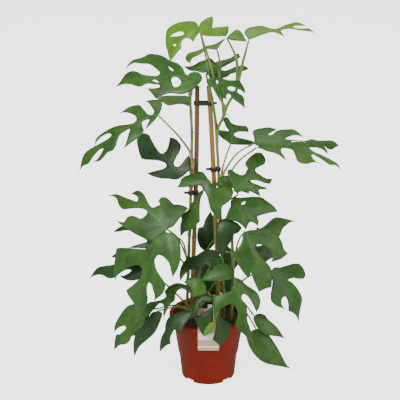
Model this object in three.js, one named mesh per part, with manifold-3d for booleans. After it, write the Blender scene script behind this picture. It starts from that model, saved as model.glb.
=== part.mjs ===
// A potted Rhaphidophora tetrasperma: climbing stems on two bamboo canes in a plastic nursery pot.
// Millimetres, +Z up. The origin is the centre of the pot's underside, and the front is towards -Y.
// The pot is turned and cut, the stems and leaf stalks are joined tubes, and each leaf blade is a
// sheet within a hand-drawn outline, with a thickness of its own.
import * as THREE from 'three';
import { mergeVertices } from 'three/addons/utils/BufferGeometryUtils.js';
import Module from 'manifold-3d';

const wasm = await Module();
wasm.setup();

// Driving dimensions, mm
const POT_HEIGHT = 145;
const POT_RIM_RADIUS = 85;
const POT_WALL_TOP_RADIUS = 78.5;
const POT_STEP_UPPER_RADIUS = 65.5;
const POT_STEP_LOWER_RADIUS = 63.5;
const POT_STEP_HEIGHT = 57;
const POT_FOOT_RADIUS = 58;
const POT_WALL = 1.8;
const POT_LIP_DEPTH = 8;
const POT_FLOOR = 2.5;
const POT_PAD_RADIUS = 30;
const POT_GROOVE_DEPTH = 5.5;
const POT_FOOT_RING = 4;
const POT_SIDES = 40;
const NOTCH_WIDTH = 23;
const NOTCH_HEIGHT = 5;
const NOTCH_REACH = 20;
const DRAIN_HOLE_RADIUS = 5;
const DRAIN_HOLE_OUT = 43;
const DRAIN_HOLE_DEPTH = 30;
const CORNERS = [45, 135, 225, 315];

const SOIL_LEVEL = 130;
const SOIL_MOUND = 3;
const GAP = 0.35;

const CANE_RADIUS = 5;
const CANE_NODE_BULGE = 0.6;
const CANE_NODE_SPACING = 150;
const CANE_FOOT = 22;
const STEM_RADIUS = 4;
const STEM_CANE_GAP = 0.7;
const STALK_RADIUS = 1.9;
const STALK_TIP_RADIUS = 1.2;
const STALK_RISE = 0.14;
const ROOT_RADIUS = 0.8;

const BLADE_THICKNESS = 1;
const TIE_HEIGHT = 7;
const TIE_THICKNESS = 1.4;
const TIE_TAIL_HEIGHT = 5;

const LABEL = {
  width: 45, height: 96, thickness: 0.9, lean: 4, off: 3, rise: 4,
  tongueWidth: 14, tongueReach: 20, tongueDrop: 14, bridgeAt: -2.4, tab: { width: 9, height: 9, right: 3 },
};

// The photograph's view, which places each leaf by where its base and tips are seen
const VIEW = { right: -18, back: 2730, height: 1506, down: 21.9, focal: 1400, middle: 200 };
const VIEW_POINT = new THREE.Vector3(VIEW.right, -VIEW.back, VIEW.height);

function viewRay(px, py) {
  const down = THREE.MathUtils.degToRad(VIEW.down);
  const forward = new THREE.Vector3(0, Math.cos(down), -Math.sin(down));
  const up = new THREE.Vector3(0, Math.sin(down), Math.cos(down));
  return forward
    .addScaledVector(new THREE.Vector3(1, 0, 0), (px - VIEW.middle) / VIEW.focal)
    .addScaledVector(up, (VIEW.middle - py) / VIEW.focal)
    .normalize();
}

// The point seen at pixel (px, py) that lies `nearer` mm in front of the pot's axis
function seen(px, py, nearer) {
  const ray = viewRay(px, py);
  return VIEW_POINT.clone().addScaledVector(ray, (-nearer + VIEW.back) / ray.y);
}

// The point seen at pixel (px, py) on the plane through `origin` with this normal
function seenOnPlane(px, py, origin, normal) {
  const ray = viewRay(px, py);
  const reach = origin.clone().sub(VIEW_POINT).dot(normal) / ray.dot(normal);
  return VIEW_POINT.clone().addScaledVector(ray, reach);
}

// A direction given by its turn from the front towards +X and its rise, both in degrees
function facing(turn, rise) {
  const a = THREE.MathUtils.degToRad(turn);
  const e = THREE.MathUtils.degToRad(rise);
  return new THREE.Vector3(Math.sin(a) * Math.cos(e), -Math.cos(a) * Math.cos(e), Math.sin(e));
}

// Closed bodies and booleans

function geometryFrom(vertices, triangles) {
  const geometry = new THREE.BufferGeometry();
  geometry.setAttribute('position', new THREE.Float32BufferAttribute(vertices.flatMap((v) => v.toArray()), 3));
  geometry.setIndex(triangles.flat());
  return geometry;
}

function solidOf(geometry) {
  const bare = new THREE.BufferGeometry();
  const flat = geometry.index ? geometry.toNonIndexed() : geometry;
  bare.setAttribute('position', flat.getAttribute('position'));
  const merged = mergeVertices(bare, 1e-4);
  return new wasm.Manifold(new wasm.Mesh({
    numProp: 3,
    vertProperties: merged.attributes.position.array,
    triVerts: new Uint32Array(merged.index.array),
  }));
}

function geometryOf(solid) {
  const mesh = solid.getMesh();
  const geometry = new THREE.BufferGeometry();
  geometry.setAttribute('position', new THREE.Float32BufferAttribute(Float32Array.from(mesh.vertProperties), 3));
  geometry.setIndex(Array.from(mesh.triVerts));
  return geometry;
}

// A closed tube along a curve, with a radius that may change from its start (0) to its end (1)
function tube(curve, steps, sides, radiusAt) {
  const frames = curve.computeFrenetFrames(steps, false);
  const vertices = [];
  const triangles = [];
  for (let i = 0; i <= steps; i++) {
    const centre = curve.getPointAt(i / steps);
    const radius = radiusAt(i / steps);
    for (let j = 0; j < sides; j++) {
      const angle = (2 * Math.PI * j) / sides;
      vertices.push(centre.clone()
        .addScaledVector(frames.normals[i], radius * Math.cos(angle))
        .addScaledVector(frames.binormals[i], radius * Math.sin(angle)));
    }
  }
  for (let i = 0; i < steps; i++) {
    for (let j = 0; j < sides; j++) {
      const a = i * sides + j;
      const b = i * sides + ((j + 1) % sides);
      triangles.push([a, b, b + sides], [a, b + sides, a + sides]);
    }
  }
  const last = steps * sides;
  for (let j = 1; j < sides - 1; j++) {
    triangles.push([0, j + 1, j], [last, last + j, last + j + 1]);
  }
  return geometryFrom(vertices, triangles);
}

// Leaf blades
// A blade is drawn as a leaf is traced on paper: its midrib, and its margin on the one side and on the
// other, from the base to the tip. A margin is a row of strokes, smooth curves that meet in the sharp
// tips of the lobes. The drawing lies on a plane, and is then lifted off it so that the blade arches.

const LINE_STEP = 1.5;
const EDGE_SLACK = 0.45;
const MIDRIB_STEP = 12;
const EVEN_ROUNDS = 40;
const SWAP_LEAST = 0.001;
const HEIGHT_SAMPLES = 300;
const BLADE_LIFT = 0.18;
const BLADE_FALL = 0.28;
const BLADE_ARCH = 0.35;
const LEAST_SLANT = 0.5;

const between = (a, b, s) => a.clone().lerp(b, s);

// Points of a smooth line through some spots of a drawing, evenly spaced
function smoothLine(spots, step) {
  const curve = new THREE.CatmullRomCurve3(spots.map(({ x, y }) => new THREE.Vector3(x, y, 0)));
  const count = Math.max(Math.round(curve.getLength() / step), 2);
  return curve.getSpacedPoints(count).map(({ x, y }) => new THREE.Vector2(x, y));
}

// The fewest of a line's points that keep within EDGE_SLACK of it
function eased(line) {
  const [first, last] = [line[0], line.at(-1)];
  const way = last.clone().sub(first);
  const off = line.map((p) => {
    const from = p.clone().sub(first);
    return way.length() > EDGE_SLACK ? Math.abs(way.cross(from)) / way.length() : from.length();
  });
  const furthest = off.indexOf(Math.max(...off));
  if (off[furthest] < EDGE_SLACK) return [first, last];
  return [...eased(line.slice(0, furthest + 1)), ...eased(line.slice(furthest)).slice(1)];
}

// Swaps the shared side of two triangles of a drawing wherever that makes both less narrow
function evened(points, triangles) {
  const angleAt = (p, a, b) => {
    const [u, v] = [points[a].clone().sub(points[p]), points[b].clone().sub(points[p])];
    return Math.abs(Math.atan2(u.cross(v), u.dot(v)));
  };
  for (let swapped = true, round = 0; swapped && round < EVEN_ROUNDS; round++) {
    swapped = false;
    const sides = new Map();
    triangles.forEach((corners, k) => corners.forEach((a, i) => {
      sides.set(`${a},${corners[(i + 1) % 3]}`, [k, i]);
    }));
    const done = new Set();
    for (const [key, [k, i]] of sides) {
      const [a, b] = key.split(',').map(Number);
      const [m, j] = sides.get(`${b},${a}`) ?? [];
      if (m === undefined || done.has(k) || done.has(m)) continue;
      const [c, d] = [triangles[k][(i + 2) % 3], triangles[m][(j + 2) % 3]];
      if (angleAt(c, a, b) + angleAt(d, a, b) <= Math.PI + SWAP_LEAST) continue;
      triangles[k] = [c, a, d];
      triangles[m] = [d, b, c];
      done.add(k).add(m);
      swapped = true;
    }
  }
  return triangles;
}

// Whether a closed line goes round a point
function goesRound(loop, { x, y }) {
  let inside = false;
  loop.forEach((a, i) => {
    const b = loop[(i + 1) % loop.length];
    if (a.y > y !== b.y > y && x < a.x + ((y - a.y) * (b.x - a.x)) / (b.y - a.y)) inside = !inside;
  });
  return inside;
}

// The drawing of a blade: its points and its triangles, which meet at the midrib
function bladeDrawing(leaf) {
  const { base, normal, along, across } = leaf;
  const flat = ([px, py]) => {
    const at = seenOnPlane(px, py, base, normal).sub(base);
    return new THREE.Vector2(at.dot(across), at.dot(along));
  };
  const line = (spots, step) => smoothLine(spots.map(flat), step);
  const margin = (strokes) => strokes.flatMap((stroke, k) => {
    const start = k === 0 ? leaf.foot : strokes[k - 1].at(-1);
    const end = k === strokes.length - 1 ? [leaf.tip] : [];
    return eased(line([start, ...stroke, ...end], LINE_STEP)).slice(0, -1);
  }).slice(1);

  const points = line([leaf.foot, ...leaf.via, leaf.tip], MIDRIB_STEP);
  const midrib = points.map((point, i) => i);
  const holes = (leaf.holes ?? []).map((hole) => eased(line([...hole, hole[0]], LINE_STEP)).slice(0, -1));
  const idsOf = (spots) => spots.map((spot) => points.push(spot) - 1);
  const triangles = [leaf.one, leaf.other].flatMap((strokes) => {
    const ids = [0, ...idsOf(margin(strokes)), ...midrib.slice(1).reverse()];
    const outline = ids.map((id) => points[id]);
    const own = holes.filter((hole) => goesRound(outline, hole[0]));
    ids.push(...own.flatMap(idsOf));
    return THREE.ShapeUtils.triangulateShape(outline, own).map((corners) => corners.map((k) => ids[k]));
  });
  const turnsLeft = (a, b, c) => points[b].clone().sub(points[a]).cross(points[c].clone().sub(points[a])) > 0;
  const turned = triangles.map(([a, b, c]) => (turnsLeft(a, b, c) ? [a, b, c] : [a, c, b]));
  return { points, triangles: evened(points, turned) };
}

// The blade as one sheet. Each point of the drawing moves along the line of sight, so the blade rises
// from its base, falls towards its tip and arches across without changing where it is seen.
function bladeSheet(leaf) {
  const { base, normal, along, across, reach } = leaf;
  const { points, triangles } = bladeDrawing(leaf);
  const lifted = points.map(({ x, y }) => {
    const [c, t] = [x / reach, y / reach];
    const lift = reach * (BLADE_LIFT * t - BLADE_FALL * t * t - BLADE_ARCH * c * c);
    const on = base.clone().addScaledVector(across, x).addScaledVector(along, y);
    const ray = on.clone().sub(VIEW_POINT).normalize();
    const slant = ray.dot(normal);
    return on.addScaledVector(ray, (lift * Math.sign(slant)) / Math.max(Math.abs(slant), LEAST_SLANT));
  });
  return { points: lifted, triangles, normal };
}

// Gives a sheet its thickness across its plane: both faces are split alike, and the free edges closed
function thickened({ points, triangles, normal }, thickness) {
  const edges = new Map();
  for (const [a, b, c] of triangles) {
    for (const [i, j] of [[a, b], [b, c], [c, a]]) edges.set(`${i},${j}`, [i, j]);
  }
  const top = points.map((p) => p.clone().addScaledVector(normal, thickness / 2));
  const bottom = points.map((p) => p.clone().addScaledVector(normal, -thickness / 2));
  const under = points.length;
  const faces = triangles.flatMap(([a, b, c]) => [[a, b, c], [c + under, b + under, a + under]]);
  for (const [i, j] of edges.values()) {
    if (!edges.has(`${j},${i}`)) faces.push([i, i + under, j + under], [i, j + under, j]);
  }
  return geometryFrom([...top, ...bottom], faces);
}

// Where a leaf's base and the plane of its blade lie, from where they are seen
function placed(leaf) {
  const normal = facing(...leaf.faces);
  const base = seen(...leaf.base);
  const way = seenOnPlane(...leaf.tip, base, normal).sub(base);
  const along = way.clone().normalize();
  const foot = leaf.base.slice(0, 2);
  return { ...leaf, foot, normal, base, along, across: along.clone().cross(normal), reach: way.length() };
}

// The leaves, from the top down. `base` is where the blade meets its stalk: its pixel, and how far in
// front of the pot's axis it lies. `tip`, `via` (what the midrib passes), the strokes of the `one`
// margin and the `other`, and the `holes` are pixels on the plane that the blade `faces`. The last
// pixel of a stroke is the tip of a lobe. `on` is the stem and the height at which its stalk leaves it,
// and `through` are spots that the stalk passes.
const LEAVES = [
  { name: 'leaf_crown_left', tone: 'young', on: ['stem_right', 612], through: [[212, 84, 8],
    [206.5, 60, 12]], base: [198.7, 26.5, 0], tip: [170.4, 61.3], faces: [-25, 35], via: [[191, 31],
    [185.3, 36], [178, 43], [173.5, 52]], one: [[[196.5, 22.5], [193, 21.2], [186, 21.2], [178, 22.6],
    [171.5, 25.7], [167.3, 29.5], [165.9, 34], [165.7, 45], [167.3, 50.5], [168.7, 56.5]]],
    other: [[[199.6, 30.5], [197.8, 34.5], [195.5, 38], [192.8, 42.3]], [[190.5, 39.3], [187, 38.2],
    [183.5, 39.3], [181.2, 43.5], [181, 48.5], [178.5, 51.3], [174, 57]]], holes: [[[169.6, 36.8],
    [174.5, 33.3], [179.5, 31.7], [183.5, 32.3], [183.7, 34.3], [178.5, 36]], [[172.8, 45.2], [175, 44],
    [176.2, 44.6], [175, 46.3]]] },
  { name: 'leaf_crown_young', tone: 'young', on: ['stem_right', 608], through: [[215, 82, 14],
    [208.5, 58, 16]], base: [201.5, 35.5, 18], tip: [212.9, 16.4], faces: [5, 35], via: [[203, 28.5],
    [207.5, 21.5]], one: [[[199, 33], [198.3, 28.5], [200.4, 22.8], [204, 19.8], [208, 17.4]]],
    other: [[[209, 36.4], [218, 36.5], [226, 36.4]], [[228, 33], [228.8, 29.5], [228.7, 26]], [[222, 26.7],
    [217, 27], [212.4, 27.9]], [[212.9, 23.5], [213.1, 20]]] },
  { name: 'leaf_crown_middle', tone: 'young', on: ['stem_right', 600], through: [[219.6, 84, -6],
    [220.2, 65, -14]], base: [217.3, 49.8, -20], tip: [189.8, 63.8], faces: [-20, 68], via: [[211, 47.2],
    [203.5, 49.8], [194, 54.5], [188.5, 58.5]], one: [[[218.5, 48], [221, 44.3], [224.5, 40],
    [226.3, 37.6]], [[221, 40.5], [216, 43.5], [211, 45], [206, 46], [203, 48], [196, 51], [188.5, 53.3],
    [185.8, 56.5], [185.6, 59.5]]], other: [[[214, 49.8], [209, 48.9], [205.5, 49.5], [203.5, 51.7],
    [200, 54.5], [195, 57], [192, 58.7], [190.9, 61]]] },
  { name: 'leaf_crown_hood', tone: 'young', on: ['stem_right', 660], through: [[236.5, 60, -12],
    [231, 46, -40]], base: [226.8, 37.8, -50], tip: [246.8, 41.7], faces: [10, 60], via: [[234, 36.5],
    [241, 38.8]], one: [[[229, 35], [232.5, 32], [235.2, 30], [237.5, 29.7], [240.3, 31], [243, 34.3],
    [245.2, 38.8]]], other: [[[230, 39.9], [235, 40.7], [241, 41.2]]] },
  { name: 'leaf_crown_right', tone: 'young', on: ['stem_right', 668], through: [[243.5, 60, 6]],
    base: [248.8, 40, 0], tip: [316.2, 35], faces: [10, 60], via: [[254, 33.5], [266, 30.3], [276, 30.6],
    [282, 28.6], [288, 27.2], [293.5, 28.2], [303, 29.7], [310.5, 31]], one: [[[246.3, 36.5], [244.3, 33],
    [245, 30.5], [248, 28], [254, 26.5], [262, 25.8], [268, 27.5], [274, 28.9], [279.8, 27.6], [284, 25.4],
    [290, 23.5], [295.5, 22.2], [300.5, 23.1], [304.3, 25], [306.9, 26.4]], [[303, 25.8], [297, 25.8],
    [292.5, 26.9], [296, 28], [303, 28.6], [309, 28.4], [312, 30.5]]], other: [[[253, 38.4], [260, 35.7],
    [266, 33.6], [271.5, 32.3], [276.5, 33], [281, 35], [284.6, 36.6]], [[282.2, 33.3], [280.8, 30.9],
    [285.5, 29.1], [291, 28.9], [300, 30.4], [308, 31.2], [312.5, 32.1]]] },
  { name: 'leaf_left_upper', tone: 'leaf', on: ['stem_left', 640], base: [194, 87.5, 38],
    tip: [115.7, 87.6], faces: [-20, 38], via: [[184, 77.3], [172, 74.6], [160, 77.3], [140, 79.7],
    [127, 82]], one: [[[199.5, 83.5], [202.3, 78.5], [200.3, 73.5], [195.5, 71.8], [190.3, 72.7],
    [187.2, 75.2], [184.8, 72.5], [183, 68], [178, 63.5], [171, 60.8], [163, 56], [156, 54.2], [149, 54],
    [142.5, 57.3], [133, 60], [128.5, 64], [125.2, 69]], [[130, 65], [134, 63], [141, 63.7], [150, 64.5],
    [156, 69], [159.9, 73.2], [157, 75.7], [149, 75.4], [142.5, 74.3], [137, 71.6], [131.5, 71],
    [126, 73.8], [121, 80.5]]], other: [[[191, 91], [184, 94], [178, 94.2], [170, 93.3], [163, 95.3],
    [156.3, 99]], [[153, 95], [149.8, 91.3], [147.3, 88.2]], [[152, 88.3], [157, 87.9], [159.8, 86.9],
    [159.4, 85.2], [154, 84.5], [149.5, 83.7], [145, 84.5], [141, 86.6], [136.5, 86.2], [131, 84.5],
    [125, 84.1], [120, 85.3]]], holes: [[[171.2, 80], [173, 77.3], [176.5, 77.2], [179.5, 79.3],
    [180.9, 82.3], [179.7, 85.3], [176.5, 87], [174, 86.8]], [[168.3, 66.6], [171, 67.9], [173.8, 70.9],
    [171, 70.2]], [[152.3, 80.8], [154.5, 79.7], [157.3, 81], [158.8, 82.8], [155.8, 81.8]]] },
  { name: 'leaf_collar', tone: 'leaf', on: ['stem_right', 600], base: [217.3, 66, -5], tip: [183.8, 66],
    faces: [-5, 60], via: [[207, 67], [196, 68.3]], one: [[[214, 61.2], [211, 58.4], [207.5, 58.8],
    [203.5, 60.5], [199, 61.8], [194, 65], [189, 66.3]]], other: [[[215.5, 70.5], [209, 72], [203, 73],
    [197, 71.5], [190, 70.6], [186.5, 68.7]]] },
  { name: 'leaf_left_under', tone: 'pale', on: ['stem_left', 600], base: [190.5, 101, -20],
    tip: [157.5, 98.8], faces: [-15, 65], via: [[180, 100.2], [168, 100.3]], one: [[[188.5, 96.5],
    [180, 95.6], [170, 95.6], [162, 96.2]]], other: [[[189, 106], [184, 104.6], [178, 104.1], [172, 105.4],
    [168, 105.6], [163, 102.8]]] },
  { name: 'leaf_back_upper', tone: 'leaf', on: ['stem_right', 560], base: [206, 74, -32],
    tip: [248.8, 68.8], faces: [15, 50], via: [[213, 72.5], [220, 73.5], [228, 72.2], [238, 69.2]],
    one: [[[208, 68.5], [213, 63.5], [218, 61], [225, 59.6], [231, 57.5], [235.5, 54.6], [238.3, 53.5],
    [240.5, 56.9]], [[237, 59.8], [232, 62.5], [226.5, 65.5], [221.5, 68.6], [223, 70.6], [229, 69.4],
    [235, 66.7], [241, 65.8], [245.5, 66.2]]], other: [[[212, 78], [220, 78.5], [227.5, 76.7],
    [230.5, 74.3], [237, 72.4], [244, 71]]] },
  { name: 'leaf_right_upper', tone: 'leaf', on: ['stem_right', 540], base: [207, 79, 42],
    tip: [245.4, 108.8], faces: [25, 40], via: [[212, 84.3], [218, 87.2], [228, 91.3], [236, 96],
    [241.5, 101.5]], one: [[[212.5, 77.3], [220, 77.8], [228, 80], [234, 80.2], [239.6, 81], [242.5, 85],
    [244.8, 89], [245, 93.7]], [[241, 90.3], [236, 88], [230, 86.6], [227.3, 88.3], [231, 90.8],
    [236.3, 90.9], [238.6, 93.3], [242, 95], [244, 98.5], [244.4, 104]]], other: [[[206.3, 82.5],
    [209.5, 85.6], [213.3, 88.3], [216.5, 93], [222, 97.3], [227.3, 100]], [[226.2, 96.8], [227.3, 94.2],
    [229.8, 94.3], [231.2, 97], [234, 99.7], [238, 102.6], [242, 105.6]]], holes: [[[214.5, 83.2],
    [215.5, 81], [217.6, 80.4], [218.2, 82.3], [217, 83.8]], [[219.5, 82.1], [220.7, 81.1], [221.6, 81.9],
    [220.4, 82.9]]] },
  { name: 'leaf_left_long', tone: 'leaf', on: ['stem_left', 440], through: [[192, 158, 26], [181, 139, 50]],
    base: [158.3, 115.4, 70], tip: [79.3, 171.8], faces: [-30, 40], via: [[150, 117], [143, 119.2],
    [138.5, 121.6], [134, 124.3], [129.5, 126.4], [119.5, 130.3], [112.7, 137], [104, 144.9], [94, 151.8],
    [86, 160]], one: [[[160.3, 112.3], [161.9, 107], [162.3, 103.3], [159.5, 99.8], [155, 99.7], [150, 100],
    [145.2, 101.4]], [[148.3, 102.8], [151, 106.5], [153.9, 111.5], [152.5, 114.6], [148.5, 114.3],
    [144.5, 110.3], [140, 105.3], [135, 105.2], [129.5, 106.8], [124.5, 109.8], [119.5, 114]],
    [[123.5, 112.4], [129.5, 113.3], [135, 116], [136.5, 119], [134, 122.6], [128, 124.3], [119, 125.3],
    [111, 128], [103, 132.7], [97.3, 137.2], [95.3, 141], [94.4, 145.3]], [[98.5, 139.7], [104, 135.2],
    [109.5, 133.5], [111.4, 135], [107.5, 139], [99.5, 143.6], [91.5, 148], [85.3, 152.6], [82, 159],
    [80.8, 164.5]]], other: [[[157, 117.6], [153.5, 121.7], [149.5, 125.7], [144.9, 129.8]], [[147, 125],
    [149.4, 119.7], [145, 120.4], [142.4, 121.8], [142.3, 125.5], [143.9, 130.3], [141, 135.5],
    [135, 140.2], [128.5, 144.8], [123.5, 148.7]], [[126, 142.5], [128, 135.5], [129.8, 128.9],
    [124.5, 131.8], [120, 135], [117.5, 140.5], [115.5, 147], [112.5, 150.8], [108, 152.3], [104, 156.8],
    [99.5, 161], [92.2, 162]], [[96.5, 159.7], [100.3, 154.7], [103.3, 148.5], [100, 149.7], [95, 154.5],
    [90.8, 160.3], [88.5, 163.8], [84.5, 165.3], [81.8, 167.5]]] },
  { name: 'leaf_right_inner', tone: 'leaf', on: ['stem_right', 440], base: [230.5, 144.6, -15],
    tip: [222.5, 118.3], faces: [10, 25], via: [[231.3, 138], [231, 131.5], [228, 124.5]],
    one: [[[226.5, 141.3], [221.5, 137.8], [217.5, 133], [214.8, 128.8]], [[219.5, 129.8], [225, 130.6],
    [228.5, 130.9], [225.8, 126.5]]], other: [[[236, 144.9], [246, 145.1], [253, 145], [255.3, 142.8]],
    [[251, 140.5], [243.5, 138.6], [236.5, 136.8], [233.8, 134.5], [237, 132.2], [243, 131.8],
    [248.6, 132.2]], [[248.3, 128.7], [246.5, 126.2], [240.5, 125.5], [235, 124.5], [231.3, 122.7],
    [229.3, 119.3], [226.5, 117]]] },
  { name: 'leaf_right_long', tone: 'leaf', on: ['stem_right', 452], base: [253.5, 143.4, 34],
    tip: [339, 146], faces: [15, 62], via: [[262, 140.5], [274, 140.7], [286, 144], [297, 146.3],
    [308, 144.8], [316, 142.9], [324, 142.6], [332, 144]], one: [[[254.3, 139], [252.8, 134],
    [253.3, 130.8], [257, 128.9], [262, 128.1], [267, 127.3], [272, 127.9], [276.8, 129.4]], [[273, 131.6],
    [268, 134.6], [271.8, 134.8], [275.3, 131.7], [279.3, 129.9], [286, 129.4], [292.5, 129.2],
    [297.3, 131.5], [301.3, 135], [304.2, 138]], [[300, 135.9], [295.5, 135.2], [290, 136.3],
    [285.3, 138.8], [291, 139.8], [299, 140.3], [306, 140.5], [311.5, 139.1], [317, 140.4], [325, 140.5],
    [331.5, 140.5], [336, 142.8]]], other: [[[258, 146.2], [267, 146.4], [280, 147.2], [293, 148],
    [302, 148], [312, 147.5], [318.5, 148], [323.5, 150.2], [327.8, 154.8]], [[327, 150.5], [325, 147],
    [323.4, 144.6], [326, 147.3], [328.8, 149.4], [332.5, 149.3], [336, 147]]], holes: [[[290.8, 141.2],
    [297, 141], [304.5, 141.8], [305.5, 143.2], [300, 144.9], [295, 143.9]]] },
  { name: 'leaf_right_long_under', tone: 'pale', on: ['stem_right', 425], base: [256, 147.5, 4],
    tip: [341, 170.3], faces: [196, 25], via: [[268, 147.5], [281, 146.3], [295, 147], [304, 149.8],
    [312.5, 152.7], [322, 157.4], [332, 162.2], [337, 165.3]], one: [[[261, 148.9], [267, 151.3],
    [274, 153], [279.5, 155.5], [286.6, 161.3]], [[284.3, 156], [281.2, 151.5], [281.8, 148.6],
    [287.5, 148.5], [292.5, 150.4], [294.9, 155], [297, 160.7], [301, 163.3], [307, 164], [313.5, 162.4],
    [320.5, 163.7]], [[315.5, 161], [312, 156.5], [312, 154.5], [318, 157.2], [324.5, 161.5],
    [329.5, 164.8], [335.5, 165.3]]], other: [[[264, 145.3], [276, 143.6], [288, 142.9], [297, 141.6],
    [304, 142], [308.5, 146.5], [313, 151], [323, 155.5], [332, 160.2], [337.5, 163.7]]] },
  { name: 'leaf_left_dark', tone: 'dark', on: ['stem_left', 436], base: [189.8, 170.5, 28],
    tip: [138.5, 135.5], faces: [-20, 30], via: [[181, 172], [174.8, 169.3], [169.8, 163.8], [162.5, 157.7],
    [151, 147.5]], one: [[[190.3, 166], [190.3, 160], [189.2, 154.7]], [[186.5, 157.3], [182, 163],
    [178.3, 166.4], [175, 166], [174, 162.8], [176.5, 157], [180.3, 150.5], [181, 145.5], [178.3, 141.3],
    [174.8, 138.4], [169.8, 137.4]], [[169.2, 141], [168.2, 146.5], [165.6, 151.3], [162, 153.5],
    [159, 151.5], [154.5, 145], [151, 138.5], [149, 134.8], [144.3, 132.9]], [[141, 133.8]]],
    other: [[[185.5, 174], [181.5, 177.5], [177, 179.6], [169, 179], [161, 178.5], [153.5, 176.6],
    [147, 173.5]], [[151, 172], [157, 170.4], [163, 168.8], [166, 166.7], [165.9, 164], [162.5, 161.9],
    [157, 160.5], [150, 160.1], [145, 159.7], [141.4, 158.6]], [[139.3, 153.5], [137.8, 147],
    [136.8, 141]]] },
  { name: 'leaf_centre_star', tone: 'leaf', on: ['stem_right', 330], base: [209.8, 180.8, 52],
    tip: [218.5, 217.8], faces: [0, 30], via: [[208.8, 186.5], [210.8, 194], [213.3, 203], [216, 211]],
    one: [[[207, 177.3], [204, 173], [200, 171.3], [193, 173.8], [186, 175.7], [181.7, 178.5], [179.8, 183],
    [177.3, 187.5]], [[184, 187.3], [191, 186.6], [197, 185.6], [200.8, 186.2], [203.3, 190],
    [206.2, 194.3], [207.7, 198.5], [209, 204], [210.4, 209.5], [213.8, 213.6]]], other: [[[211.3, 182.3],
    [212.2, 185.6], [215.5, 187.6], [221, 187.4], [227, 187.2], [231.6, 188.3], [233.3, 192.3],
    [231.3, 198.5]], [[229, 201.5], [226, 203.8], [223, 205.7], [221.8, 208], [221.8, 213]]] },
  { name: 'leaf_right_round', tone: 'leaf', on: ['stem_right', 400], through: [[238, 194, 50]],
    base: [234, 190, 62], tip: [261.5, 152.8], faces: [20, 30], via: [[240, 184.3], [246, 178.4],
    [250, 173.3], [251.8, 168], [256, 159.5]], one: [[[231.5, 184], [229.5, 178], [227.2, 173.3]],
    [[227.8, 170.3], [230, 169.2], [234.5, 171.8], [239, 174.3], [242.3, 175], [245, 173.5], [246.5, 170.5],
    [247.6, 168.3], [245.6, 166], [245, 163.2], [247.5, 159.3], [252, 155], [256.5, 152.4]]],
    other: [[[237, 192.6], [243, 191.2], [249, 191.3], [255, 193.7], [260.5, 196.8]], [[259.7, 193.5],
    [258.9, 189.8], [263, 189.5], [268.5, 188.9]], [[264, 186.8], [257.5, 185.2], [252.5, 183],
    [248.3, 181], [253, 180.3], [259, 181], [265, 183.3], [270, 184]], [[271.3, 181.7], [272.3, 178.4]],
    [[268.5, 178.7], [264.5, 177.5], [259.5, 174.4], [255.8, 171.5], [255.6, 169], [259.5, 166.7],
    [264.3, 164], [265.8, 160.3], [264, 156]]] },
  { name: 'leaf_right_folded', tone: 'leaf', on: ['stem_right', 360], base: [217.5, 181, 34],
    tip: [232.5, 186], faces: [0, 50], via: [[225, 180.8]], one: [[[219, 178], [223, 176.2], [228, 175.7],
    [231.8, 177.8], [233.2, 181.5]]], other: [[[219, 184.5], [222.5, 186.8], [228, 187.2]]] },
  { name: 'leaf_centre_hanging', tone: 'leaf', on: ['stem_left', 330], base: [203.5, 189.3, 33],
    tip: [180.6, 236.2], faces: [-30, 15], via: [[198.5, 199], [193, 210], [187, 222]],
    one: [[[199.5, 191.8], [196, 198], [191.5, 203.5], [188.8, 209], [184.5, 212.5], [180.2, 214.5]],
    [[181.5, 219], [180.3, 225], [180, 230]]], other: [[[203.5, 192.5], [200.8, 198.5], [199.9, 206],
    [199.8, 213], [200, 221.5]], [[197, 224.3], [194, 227.7], [190.8, 230]], [[187.5, 231.3],
    [184.6, 232.3], [182.5, 234.8]]] },
  { name: 'leaf_right_mid', tone: 'leaf', on: ['stem_low_right', 330], base: [231.5, 200.5, 50],
    tip: [278, 211.8], faces: [20, 35], via: [[240, 207], [251, 208.3], [264, 208.3]],
    one: [[[233.5, 197.8], [241, 197.5], [249, 196.9], [257, 196.7], [262.5, 197.6], [265.5, 200],
    [270.5, 203.3], [275, 207.5]]], other: [[[230.5, 206], [228, 211], [226.5, 215], [225, 218.7]],
    [[232, 220.5], [238.5, 222.8], [242.5, 226], [246.2, 229.9]], [[247.5, 226], [250, 222.2], [254, 223],
    [257.8, 226]], [[258.7, 221], [257.3, 217.3], [261, 215.2], [267.5, 213.6], [272, 212.5]]],
    holes: [[[241.2, 204.2], [242.6, 202.4], [245.3, 201.6], [245.2, 203.1], [243, 204.6]]] },
  { name: 'leaf_left_wide', tone: 'leaf', on: ['stem_left', 265], base: [167, 229, 64], tip: [107.5, 195.3],
    faces: [-25, 35], via: [[160, 220.5], [152.5, 213], [148.5, 209.3], [139.5, 205], [125, 201.3],
    [116, 197]], one: [[[173, 226.5], [180, 218], [185, 212], [188.5, 208.5]], [[184.5, 206],
    [178.5, 204.4], [173.5, 204.2], [170.5, 201], [167, 198], [163.3, 196.9], [160, 198.3], [158.2, 201.3]],
    [[160, 204.2], [158, 205.6], [152.3, 207.4], [149.3, 204.5], [146.3, 198.5], [143.7, 193.8],
    [140, 190.9], [136, 190.7], [130.8, 194.1]], [[134.5, 194.9], [137.6, 197.5], [137.2, 201.2],
    [131, 199.5], [123.5, 196.7], [117, 194.1]]], other: [[[164.5, 234], [158, 240], [149.8, 242.2]],
    [[143, 238], [135.5, 234.3], [127, 228.8], [120.5, 224.5], [116, 219.9]], [[119.5, 221.4], [124, 222],
    [127, 217.5], [131, 215.5], [136.5, 216.8], [140.5, 218.6], [145, 216], [147.3, 212.3], [145, 209.7],
    [138, 208.3], [130, 208.8], [122.7, 209.1], [118.5, 204.5], [116.7, 199.3], [113.5, 196.6]]] },
  { name: 'leaf_right_back', tone: 'leaf', on: ['stem_low_right', 290], base: [258, 236, 0],
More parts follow.
